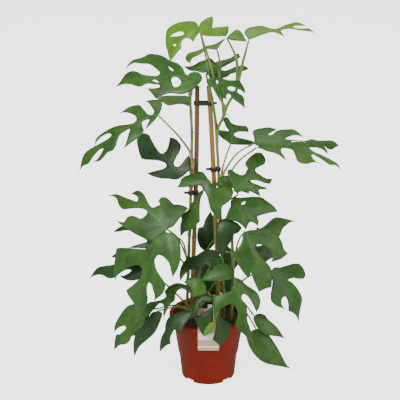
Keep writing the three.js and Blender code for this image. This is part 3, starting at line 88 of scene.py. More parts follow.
def seen(px, py, nearer):
    ray = view_ray(px, py)
    return EYE + ray * ((-nearer - EYE[1]) / ray[1])


def seen_on_plane(px, py, origin, normal):
    ray = view_ray(px, py)
    return EYE + ray * ((origin - EYE) @ normal / (ray @ normal))


def facing(turn, rise):
    """A direction by its turn from the front towards +X and its rise, in degrees."""
    a, e = math.radians(turn), math.radians(rise)
    return np.array((math.sin(a) * math.cos(e), -math.cos(a) * math.cos(e), math.sin(e)))


print("lens in mm:", camera.data.lens)

# %% [markdown]
# ## Helpers for materials
# A material here is a Principled shader fed by a few nodes. `put` adds a node with its settings and
# sockets, `maths` a sum or product, and `blend` a mix of two colours. Each value that they take can be a
# number, a colour or the output of another node.

# %% Material helpers
FLOAT, COLOUR = "NodeSocketFloat", "NodeSocketColor"


def connect(tree, value, socket):
    if isinstance(value, bpy.types.NodeSocket):
        tree.links.new(value, socket)
    else:
        socket.default_value = value


def feed(tree, node, **values):
    """Fills sockets of a node by their names."""
    for name, value in values.items():
        connect(tree, value, node.inputs[name.replace("_", " ")])


def put(tree, kind, **values):
    """Adds a node. A value goes to the setting of that name, or else to the socket."""
    node = tree.nodes.new(kind)
    for name, value in values.items():
        if hasattr(node, name):
            setattr(node, name, value)
        else:
            feed(tree, node, **{name: value})
    return node


def maths(tree, operation, *terms):
    node = put(tree, "ShaderNodeMath", operation=operation)
    for term, socket in zip(terms, node.inputs):
        connect(tree, term, socket)
    return node.outputs[0]


def blend(tree, share, first, second):
    node = put(tree, "ShaderNodeMix", data_type="RGBA")
    for place, value in ((0, share), (6, first), (7, second)):
        connect(tree, value, node.inputs[place])
    return node.outputs[2]


def new_material(name, **values):
    """A material with its Principled shader's own values; returns it, its tree and the shader."""
    material = bpy.data.materials.new(name)
    material.use_nodes = True
    shader = material.node_tree.nodes["Principled BSDF"]
    feed(material.node_tree, shader, **values)
    return material, material.node_tree, shader


def set_ramp(ramp, stops):
    """Gives a colour ramp its stops, as places and colours."""
    elements = ramp.color_ramp.elements
    while len(elements) < len(stops):
        elements.new(0.5)
    for element, (place, colour) in zip(elements, stops):
        element.position = place
        element.color = (*colour, 1)


def emboss(tree, shader, height, strength, depth):
    """Raises or sinks a surface by a height, as a bump of some strength and depth in metres."""
    relief = put(tree, "ShaderNodeBump", Strength=strength, Distance=depth, Height=height)
    feed(tree, shader, Normal=relief.outputs["Normal"])


print("material helpers are ready")

# %% [markdown]
# ## Floor and light
# A pale floor and large soft lights give the even look of a catalogue picture: a broad light from the
# upper left front, weaker ones from the right and from above, and a pale world that fills the shadows.
# The floor glows towards the camera alone, which keeps it pale and puts no glare on the plant.

# %% Floor, lights and world
bpy.ops.object.select_all(action="DESELECT")
bpy.ops.mesh.primitive_plane_add(size=60)
floor = bpy.context.object
floor.name = "floor"
floor_paint, floor_tree, floor_shader = new_material(
    "floor", Base_Color=(0.86, 0.86, 0.86, 1), Roughness=0.9, Emission_Strength=2.4)
feed(floor_tree, floor_shader, Emission_Color=put(floor_tree, "ShaderNodeLightPath").outputs["Is Camera Ray"])
floor.data.materials.append(floor_paint)


def soft_light(name, place, size, power):
    """A square light, aimed at the middle of the plant."""
    way = Vector((0, 0, 0.4)) - Vector(place)
    bpy.ops.object.light_add(type="AREA", location=place, rotation=way.to_track_quat("-Z", "Y").to_euler())
    lamp = bpy.context.object
    lamp.name = name
    lamp.data.size = size
    lamp.data.energy = power
    return lamp


lights = [soft_light("key", (-1.6, -2.2, 2.6), 1.6, 105),
          soft_light("fill", (2.2, -1.6, 1.4), 1.8, 34),
          soft_light("top", (0.2, 0.6, 2.8), 1.6, 28)]
world = bpy.context.scene.world or bpy.data.worlds.new("studio")
bpy.context.scene.world = world
world.use_nodes = True
feed(world.node_tree, world.node_tree.nodes["Background"], Color=(1, 1, 1, 1), Strength=0.45)
print("lights:", len(lights))

# %% [markdown]
# ## Mottle
# No part of a plant or a used pot is of one even tone. A node group mixes two tones of a colour by soft
# noise, and almost every material below places it with its own tones and scale.

# %% The mottle group, and a material made with it


def new_group(name, takes, gives):
    """A shader node group with named sockets; returns it, what it is given and what it gives."""
    group = bpy.data.node_groups.new(name, "ShaderNodeTree")
    for key, kind in takes.items():
        group.interface.new_socket(key, in_out="INPUT", socket_type=kind)
    for key, kind in gives.items():
        group.interface.new_socket(key, in_out="OUTPUT", socket_type=kind)
    return group, group.nodes.new("NodeGroupInput").outputs, group.nodes.new("NodeGroupOutput")


def place_group(tree, group, **values):
    """Places a group in a material and returns its outputs."""
    node = tree.nodes.new("ShaderNodeGroup")
    node.node_tree = group
    feed(tree, node, **values)
    return node.outputs


mottle, given, gives = new_group(
    "mottle", {"Light": COLOUR, "Dark": COLOUR, "Scale": FLOAT, "Spread": FLOAT}, {"Color": COLOUR})
cloud = put(mottle, "ShaderNodeTexNoise", Vector=put(mottle, "ShaderNodeTexCoord").outputs["Object"],
            Scale=given["Scale"], Detail=4.0, Roughness=0.6)
cloud_share = put(mottle, "ShaderNodeMapRange", interpolation_type="SMOOTHSTEP", Value=cloud.outputs["Fac"],
                  From_Min=maths(mottle, "SUBTRACT", 0.5, given["Spread"]),
                  From_Max=maths(mottle, "ADD", 0.5, given["Spread"]))
feed(mottle, gives, Color=blend(mottle, cloud_share.outputs["Result"], given["Dark"], given["Light"]))


def tones(tree, light, dark, scale, spread):
    return place_group(tree, mottle, Light=(*light, 1), Dark=(*dark, 1), Scale=scale, Spread=spread)["Color"]


def mottled_material(name, light, dark, scale, spread, grain=None, **values):
    """A mottled material. Its grain is a noise's scale and detail, and a bump's strength and depth."""
    material, tree, shader = new_material(name, **values)
    feed(tree, shader, Base_Color=tones(tree, light, dark, scale, spread))
    if grain:
        fine = put(tree, "ShaderNodeTexNoise", Scale=grain[0], Detail=grain[1])
        emboss(tree, shader, fine.outputs["Fac"], *grain[2:])
    return material, tree, shader


print("node group:", mottle.name)

# %% [markdown]
# ## The finish of a leaf
# A blade is semi-gloss above and paler and duller below. Its midrib and the rib of each lobe show as fine
# pale lines, and faint side veins run out to the margin. The blade's mesh carries three attributes that
# follow it: `rib` (distance from the nearest rib, in rib widths), `vein` (a count of side veins) and
# `edge` (distance from the margin, in mm). A group turns them into masks. A wrapped pattern would be
# simpler, but the ribs of each blade run their own way, and only the mesh knows where.

# %% Leaf veins and leaf materials
veins, given, gives = new_group("leaf veins", dict.fromkeys(("Rib", "Vein", "Edge"), FLOAT),
                                dict.fromkeys(("Line", "Side", "Margin"), FLOAT))
side_wave = maths(veins, "PINGPONG", given["Vein"], 0.5)
for mask, value, full, gone in (("Line", given["Rib"], 0.5, 1.3), ("Side", side_wave, 0.0, 0.11),
                                ("Margin", given["Edge"], 0.2, 1.4)):
    fade = put(veins, "ShaderNodeMapRange", interpolation_type="SMOOTHSTEP", Value=value,
               From_Min=full, From_Max=gone, To_Min=1.0, To_Max=0.0)
    feed(veins, gives, **{mask: fade.outputs["Result"]})

PALER = {"Side": 0.07, "Margin": 0.18, "Line": 0.3}
SIDE_DEPTH = 0.35


def leaf_material(name, light, dark, rib, roughness, groove, coat):
    """A leaf surface: mottled green, pale ribs and a thin pale margin, with the ribs sunk by `groove`."""
    material, tree, shader = new_material(name, Roughness=roughness, Specular_IOR_Level=0.32,
                                          Coat_Weight=coat, Coat_Roughness=0.3)
    read = {key.title(): put(tree, "ShaderNodeAttribute", attribute_name=key).outputs["Fac"]
            for key in ("rib", "vein", "edge")}
    masks = place_group(tree, veins, **read)
    colour = tones(tree, light, dark, 26, 0.2)
    for mask, share in PALER.items():
        colour = blend(tree, maths(tree, "MULTIPLY", masks[mask], share), colour, (*rib, 1))
    feed(tree, shader, Base_Color=colour)
    side = maths(tree, "MULTIPLY", masks["Side"], -SIDE_DEPTH * groove)
    emboss(tree, shader, maths(tree, "MULTIPLY_ADD", masks["Line"], -groove, side), 0.6, 0.0012)
    return material


# For each tone, the light and dark of its mottle, and the colour of its ribs
LEAF_TONES = {
    "leaf": ((0.037, 0.122, 0.01), (0.016, 0.066, 0.005), (0.085, 0.2, 0.032)),
    # The "dark" tone is painted shade: a darker copy of the leaf green for leaves that sit in shade, low in
    # the plant, under other leaves and behind them.
    "dark": ((0.014, 0.056, 0.005), (0.007, 0.034, 0.003), (0.038, 0.1, 0.014)),
    "young": ((0.1, 0.25, 0.012), (0.064, 0.178, 0.008), (0.18, 0.33, 0.05)),
    "bright": ((0.062, 0.178, 0.012), (0.04, 0.125, 0.008), (0.12, 0.25, 0.04)),
    "pale": ((0.1, 0.2, 0.04), (0.068, 0.15, 0.026), (0.17, 0.29, 0.085)),
}
UNDER_TONE = ((0.1, 0.2, 0.042), (0.07, 0.155, 0.028), (0.17, 0.29, 0.09))
leaf_tops = {tone: leaf_material("leaf_" + tone, *colours, 0.4, 1.0, 0.12)
             for tone, colours in LEAF_TONES.items()}
leaf_under = leaf_material("leaf_under", *UNDER_TONE, 0.6, -0.8, 0.0)
print("leaf materials:", len(leaf_tops) + 1)

# %% [markdown]
# ## How a blade is shaped
# A blade is drawn the way a leaf is traced on paper: its midrib, then its margin on the one side and on
# the other, from the base to the tip. A margin is a row of strokes. Each stroke is a smooth curve through
# a few pixels, and two strokes meet in the sharp tip of a lobe, so the round bottoms of the splits and the
# pointed lobes both come out right. The drawing lies on a plane that faces its own way. A flat card with
# a leaf painted on it would be quicker, but its splits would not be real edges with light between them.

# %% Smooth curves, and the drawing plane of a blade
SPAN_POINTS = 60
DRAWN_POINTS = 120
Leaf = namedtuple("Leaf", "name tone on base tip faces via one other holes through", defaults=("", ()))


def strokes(path):
    """Reads strokes that are written as a path: the pixels as x,y and a bar between two strokes."""
    return [[tuple(map(float, pixel.split(","))) for pixel in stroke.split()]
            for stroke in path.split("|") if path]


def evenly(points, count):
    run = np.concatenate([[0], np.cumsum(np.linalg.norm(np.diff(points, axis=0), axis=1))])
    at = np.linspace(0, run[-1], count)
    return np.stack([np.interp(at, run, column) for column in points.T], axis=1)


def length_of(points):
    return float(np.linalg.norm(np.diff(points, axis=0), axis=1).sum())


def smooth_curve(points, count=240):
    """Evenly spaced points on a centripetal Catmull-Rom spline, whose ends run straight on."""
    points = [np.asarray(p, float) for p in points]
    ends = [2 * points[0] - points[1]] + points + [2 * points[-1] - points[-2]]
    fine = []
    for k in range(1, len(ends) - 2):
        p = ends[k - 1:k + 3]
        dt = [max(np.linalg.norm(p[i + 1] - p[i]) ** 0.5, 1e-4) for i in range(3)]
        m1 = ((p[1] - p[0]) / dt[0] - (p[2] - p[0]) / (dt[0] + dt[1]) + (p[2] - p[1]) / dt[1]) * dt[1]
        m2 = ((p[2] - p[1]) / dt[1] - (p[3] - p[1]) / (dt[1] + dt[2]) + (p[3] - p[2]) / dt[2]) * dt[1]
        t = np.linspace(0, 1, SPAN_POINTS, endpoint=k == len(ends) - 3)[:, None]
        fine.append(p[1] + m1 * t + (-3 * p[1] + 3 * p[2] - 2 * m1 - m2) * t ** 2
                    + (2 * p[1] - 2 * p[2] + m1 + m2) * t ** 3)
    return evenly(np.concatenate(fine), count)


class Plane:
    """The plane that a blade is drawn on: across and along it, in mm from the blade's base."""

    def __init__(self, leaf):
        self.normal = facing(*leaf.faces)
        self.base = seen(*leaf.base)
        way = seen_on_plane(*leaf.tip, self.base, self.normal) - self.base
        self.reach = np.linalg.norm(way)
        self.along = way / self.reach
        self.across = np.cross(self.along, self.normal)

    def flat(self, pixels):
        places = np.array([seen_on_plane(*pixel, self.base, self.normal) for pixel in pixels]) - self.base
        return np.stack([places @ self.across, places @ self.along], axis=1)

    def curve(self, pixels, step):
        line = self.flat(smooth_curve(pixels, DRAWN_POINTS))
        return evenly(line, max(3, round(length_of(line) / step) + 1))


print("a stroke reads as", strokes("191,31 185.3,36"))

# %% [markdown]
# Two questions come up again and again: how far a point is from some lines, and whether it lies within
# the blade. Both are answered for all the points of a blade at once.

# %% Distance from lines, and inside or outside


def away_from(points, lines):
    """For each point its distance from the nearest of some lines, the line's number and how far along it."""
    best = np.full(len(points), 1e9)
    which = np.zeros(len(points), int)
    run = np.zeros(len(points))
    for number, line in enumerate(lines):
        start, way = line[:-1], line[1:] - line[:-1]
        size = np.maximum((way ** 2).sum(-1), 1e-9)
        here = points[:, None] - start[None]
        t = np.clip((here * way[None]).sum(-1) / size[None], 0, 1)
        gap = np.linalg.norm(here - t[..., None] * way[None], axis=2)
        near = gap.argmin(axis=1)
        rows = np.arange(len(points))
        found = gap[rows, near]
        gone = np.concatenate([[0], np.cumsum(np.sqrt(size))])
        nearer = found < best
        run[nearer] = (gone[near] + t[rows, near] * np.sqrt(size)[near])[nearer]
        which[nearer] = number
        best = np.minimum(best, found)
    return best, which, run


def within(points, loops):
    """Whether points lie inside the outline and outside its holes."""
    inside = np.zeros(len(points), bool)
    x, y = points[:, :1], points[:, 1:]
    for loop in loops:
        (ax, ay), (bx, by) = loop.T, np.roll(loop, -1, axis=0).T
        rise = np.where(by == ay, 1e-12, by - ay)
        crossed = ((ay > y) != (by > y)) & (x < ax + (y - ay) * (bx - ax) / rise)
        inside ^= crossed.sum(axis=1) % 2 == 1
    return inside


square = np.array([(0, 0), (4, 0), (4, 4), (0, 4)], float)
print("within a square:", within(np.array([(2.0, 2.0), (6.0, 2.0)]), [square]))

# %% [markdown]
# Each lobe has a rib of its own. It leaves the midrib where it then runs to the lobe's tip at about 48
# degrees without leaving the blade, and it bows a little towards the tip, as on the real leaf.

# %% Outline and ribs of a blade
OUTLINE_STEP = 2.3
RIB_STEP = 3.0
RIB_ANGLE = math.cos(math.radians(48))
RIB_BOW = 0.1
RIB_SAMPLES = 14
OUTSIDE_COST = 4


def margin(leaf, path, plane):
    """One side of a margin, from the base to just before the tip, and the tips of its lobes."""
    start, side, tips = leaf.base[:2], [], []
    drawn = strokes(path)
    for stroke in drawn[:-1]:
        line = plane.curve([start, *stroke], OUTLINE_STEP)
        side.append(line[:-1])
        tips.append(line[-1])
        start = stroke[-1]
    side.append(plane.curve([start, *drawn[-1], leaf.tip], OUTLINE_STEP)[:-1])
    return np.concatenate(side), tips


def rib_to(spot, midrib, loops):
    """The rib from the midrib to the tip of a lobe."""
    best, rib = None, None
    for k in range(1, len(midrib) - 1):
        forward = unit(midrib[k + 1] - midrib[k - 1])
        way = spot - midrib[k]
        size = np.linalg.norm(way)
        s = np.linspace(0, 1, RIB_SAMPLES)[:, None]
        bowed = midrib[k] + way * s - forward * size * RIB_BOW * 4 * s * (1 - s)
        outside = 1 - within(bowed[1:-1], loops).mean()
        score = abs(way @ forward / size - RIB_ANGLE) + OUTSIDE_COST * outside
        if best is None or score < best:
            best, rib = score, bowed
    return evenly(rib, max(3, round(length_of(rib) / RIB_STEP) + 1))


def blade_lines(leaf, plane):
    """The closed lines of a blade (its outline, then its holes) and its ribs, midrib first."""
    via = [pixel for stroke in strokes(leaf.via) for pixel in stroke]
    midrib = plane.curve([leaf.base[:2], *via, leaf.tip], RIB_STEP)
    (one, one_tips), (other, other_tips) = (margin(leaf, path, plane) for path in (leaf.one, leaf.other))
    outline = np.concatenate([one, plane.flat([leaf.tip]), other[:0:-1]])
    loops = [outline] + [plane.curve([*hole, hole[0]], OUTLINE_STEP)[:-1] for hole in strokes(leaf.holes)]
    ribs = [midrib]
    for spot in one_tips + other_tips:
        here = np.linalg.norm(outline - spot, axis=1).argmin()
        count = len(outline)
        round_it = (outline[(here - 2) % count] + outline[(here + 2) % count]) / 2
        if within((spot * 0.5 + round_it * 0.5)[None], loops)[0]:
            ribs.append(rib_to(spot, midrib, loops))
    return loops, ribs


print("a rib's angle, as a cosine:", round(RIB_ANGLE, 2))

# %% [markdown]
# The drawing is filled: a hexagonal scatter of points between the ribs and the margin, and triangles
# through all of them, because a plain grid would leave a jagged margin.

# %% Fill a drawing with triangles
INNER_STEP = 4.2
ROW_STEP = INNER_STEP * 0.866
MARGIN_ROOM = 1.7
RIB_ROOM = 1.2
SLIVER = 1e-6


def fill(loops, ribs):
    """Points and triangles that fill a drawing, and its lines, closed."""
    spots, edges = [], []
    for loop in loops:
        first = len(spots)
        spots += list(loop)
        edges += [(first + i, first + (i + 1) % len(loop)) for i in range(len(loop))]
    margins = len(spots)
    closed = [np.vstack([loop, loop[:1]]) for loop in loops]
    for line in ribs:
        inner = line[within(line, loops)]
        inner = inner[away_from(inner, closed)[0] > RIB_ROOM] if len(inner) else inner
        others = np.array(spots[margins:])
        if len(others) and len(inner):
            inner = inner[np.linalg.norm(inner[:, None] - others[None], axis=2).min(axis=1) > RIB_ROOM]
        spots += list(inner)
    rows = []
    low, high = loops[0].min(axis=0), loops[0].max(axis=0)
    for j, y in enumerate(np.arange(low[1], high[1], ROW_STEP)):
        x = np.arange(low[0] + (j % 2) * INNER_STEP / 2, high[0], INNER_STEP)
        rows.append(np.stack([x, np.full_like(x, y)], axis=1))
    scatter = np.concatenate(rows)
    scatter = scatter[within(scatter, loops)]
    if len(scatter):
        free = (away_from(scatter, closed)[0] > MARGIN_ROOM) & (away_from(scatter, ribs)[0] > MARGIN_ROOM)
        spots += list(scatter[free])
    made = delaunay_2d_cdt([Vector(spot) for spot in spots], edges, [], 0, 1e-4)
    flat, faces = np.array([tuple(v) for v in made[0]]), np.array(made[2])
    faces = faces[within(flat[faces].mean(axis=1), loops)]
    a, b, c = (flat[faces[:, k]] for k in range(3))
    turned = (b[:, 0] - a[:, 0]) * (c[:, 1] - a[:, 1]) - (b[:, 1] - a[:, 1]) * (c[:, 0] - a[:, 0])
    faces, turned = faces[np.abs(turned) > SLIVER], turned[np.abs(turned) > SLIVER]
    return flat, np.where(turned[:, None] > 0, faces, faces[:, ::-1]), closed


print("rows in mm:", round(ROW_STEP, 2))

# %% [markdown]
# Each point is then lifted off the plane along the line of sight, so that the blade arches, falls away
# from its ribs and waves a little without changing where it is seen. The same numbers give the mesh its
# attributes for the veins.

# %% The mesh of a blade
LIFT = 0.18
FALL = 0.28
ARCH = 0.35
FOLD = 0.15
FOLD_EASE = 5
WAVE = 1.3
WAVE_LENGTH = 34
WAVE_START = 9
WAVE_MOST = 1.4
WAVE_SEED = 7.3
LEAST_SLANT = 0.5
VEIN_STEP = 7.5
VEIN_SLANT = 0.9
MIDRIB_WIDTH = 1.25
LOBE_RIB_WIDTH = 0.8
RIB_TAPER = 0.7
RIB_LEAST = 0.12


def blade_mesh(leaf, seed):
    plane = Plane(leaf)
    loops, ribs = blade_lines(leaf, plane)
    flat, faces, closed = fill(loops, ribs)
    if np.cross(plane.across, plane.along) @ plane.normal < 0:
        faces = faces[:, ::-1]
    distance, which, run = away_from(flat, ribs)
    c, t = flat.T / plane.reach
    lift = plane.reach * (LIFT * t - FALL * t ** 2 - ARCH * c ** 2)
    lift -= FOLD * distance ** 2 / (distance + FOLD_EASE)
    sway = np.array([noise.noise(Vector((x / WAVE_LENGTH, y / WAVE_LENGTH, seed * WAVE_SEED)))
                     for x, y in flat])
    lift += WAVE * sway * np.minimum(distance / WAVE_START, WAVE_MOST)
    on = plane.base + flat[:, :1] * plane.across + flat[:, 1:] * plane.along
    rays = on - EYE
    rays /= np.linalg.norm(rays, axis=1)[:, None]
    slant = rays @ plane.normal
    slant = np.copysign(np.maximum(np.abs(slant), LEAST_SLANT), slant)
    points = on + rays * (lift / slant)[:, None]
    reach = np.array([length_of(rib) for rib in ribs])[which]
    width = np.where(which == 0, MIDRIB_WIDTH, LOBE_RIB_WIDTH) * (1 - RIB_TAPER * run / reach) + RIB_LEAST

    mesh = bpy.data.meshes.new(leaf.name)
    mesh.from_pydata((points * MM).tolist(), [], faces.tolist())
    values = {"rib": distance / width, "vein": (run + distance * VEIN_SLANT) / VEIN_STEP,
              "edge": away_from(flat, closed)[0]}
    for key, numbers in values.items():
        mesh.attributes.new(key, "FLOAT", "POINT").data.foreach_set("value", numbers.astype(np.float32))
    mesh.update()
    return mesh


print("side veins in mm:", VEIN_STEP)

# %% [markdown]
# A blade gets its thickness last, from a Solidify modifier. Its upper face takes the leaf's tone, and the
# lower face the paler green of the underside.

# %% One finished blade
BLADE_THICKNESS = 0.7


def alone(piece):
    """Selects one piece and nothing else."""
    bpy.ops.object.select_all(action="DESELECT")
    bpy.context.view_layer.objects.active = piece
    piece.select_set(True)


def new_piece(name, data):
    """Adds a piece with its own mesh or curve, selected alone."""
    piece = bpy.data.objects.new(name, data)
    bpy.context.collection.objects.link(piece)
    alone(piece)
    return piece


def apply(piece, name, kind, **settings):
    """Puts a modifier on a piece and applies it."""
    modifier = piece.modifiers.new(name, kind)
    for key, value in settings.items():
        setattr(modifier, key, value)
    bpy.ops.object.modifier_apply(modifier=modifier.name)


def stand_in(piece, node):
    """Puts a finished piece in the place of its CAD node."""
    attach(piece, "root")
    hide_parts(node)
    return piece


def make_blade(leaf, seed):
    piece = new_piece("blade_" + leaf.name, blade_mesh(leaf, seed))
    piece.data.materials.append(leaf_tops[leaf.tone])
    piece.data.materials.append(leaf_under)
    bpy.ops.object.shade_smooth()
    apply(piece, "thickness", "SOLIDIFY", thickness=BLADE_THICKNESS * MM, offset=0, material_offset=1,
          material_offset_rim=0)
    return stand_in(piece, leaf.name)


print("blade thickness in mm:", BLADE_THICKNESS)

# %% [markdown]
# ## The leaves
# From the top of the plant down. For each leaf: its tone, the stem that its stalk leaves and at what
# height, where the blade starts (pixel, and mm in front of the pot's axis), the pixel of its tip, the way
# it faces, what its stalk passes through, what its midrib passes, the strokes of the one margin and of the
# other, and the gaps within the blade. The last pixel of a stroke is the tip of a lobe.

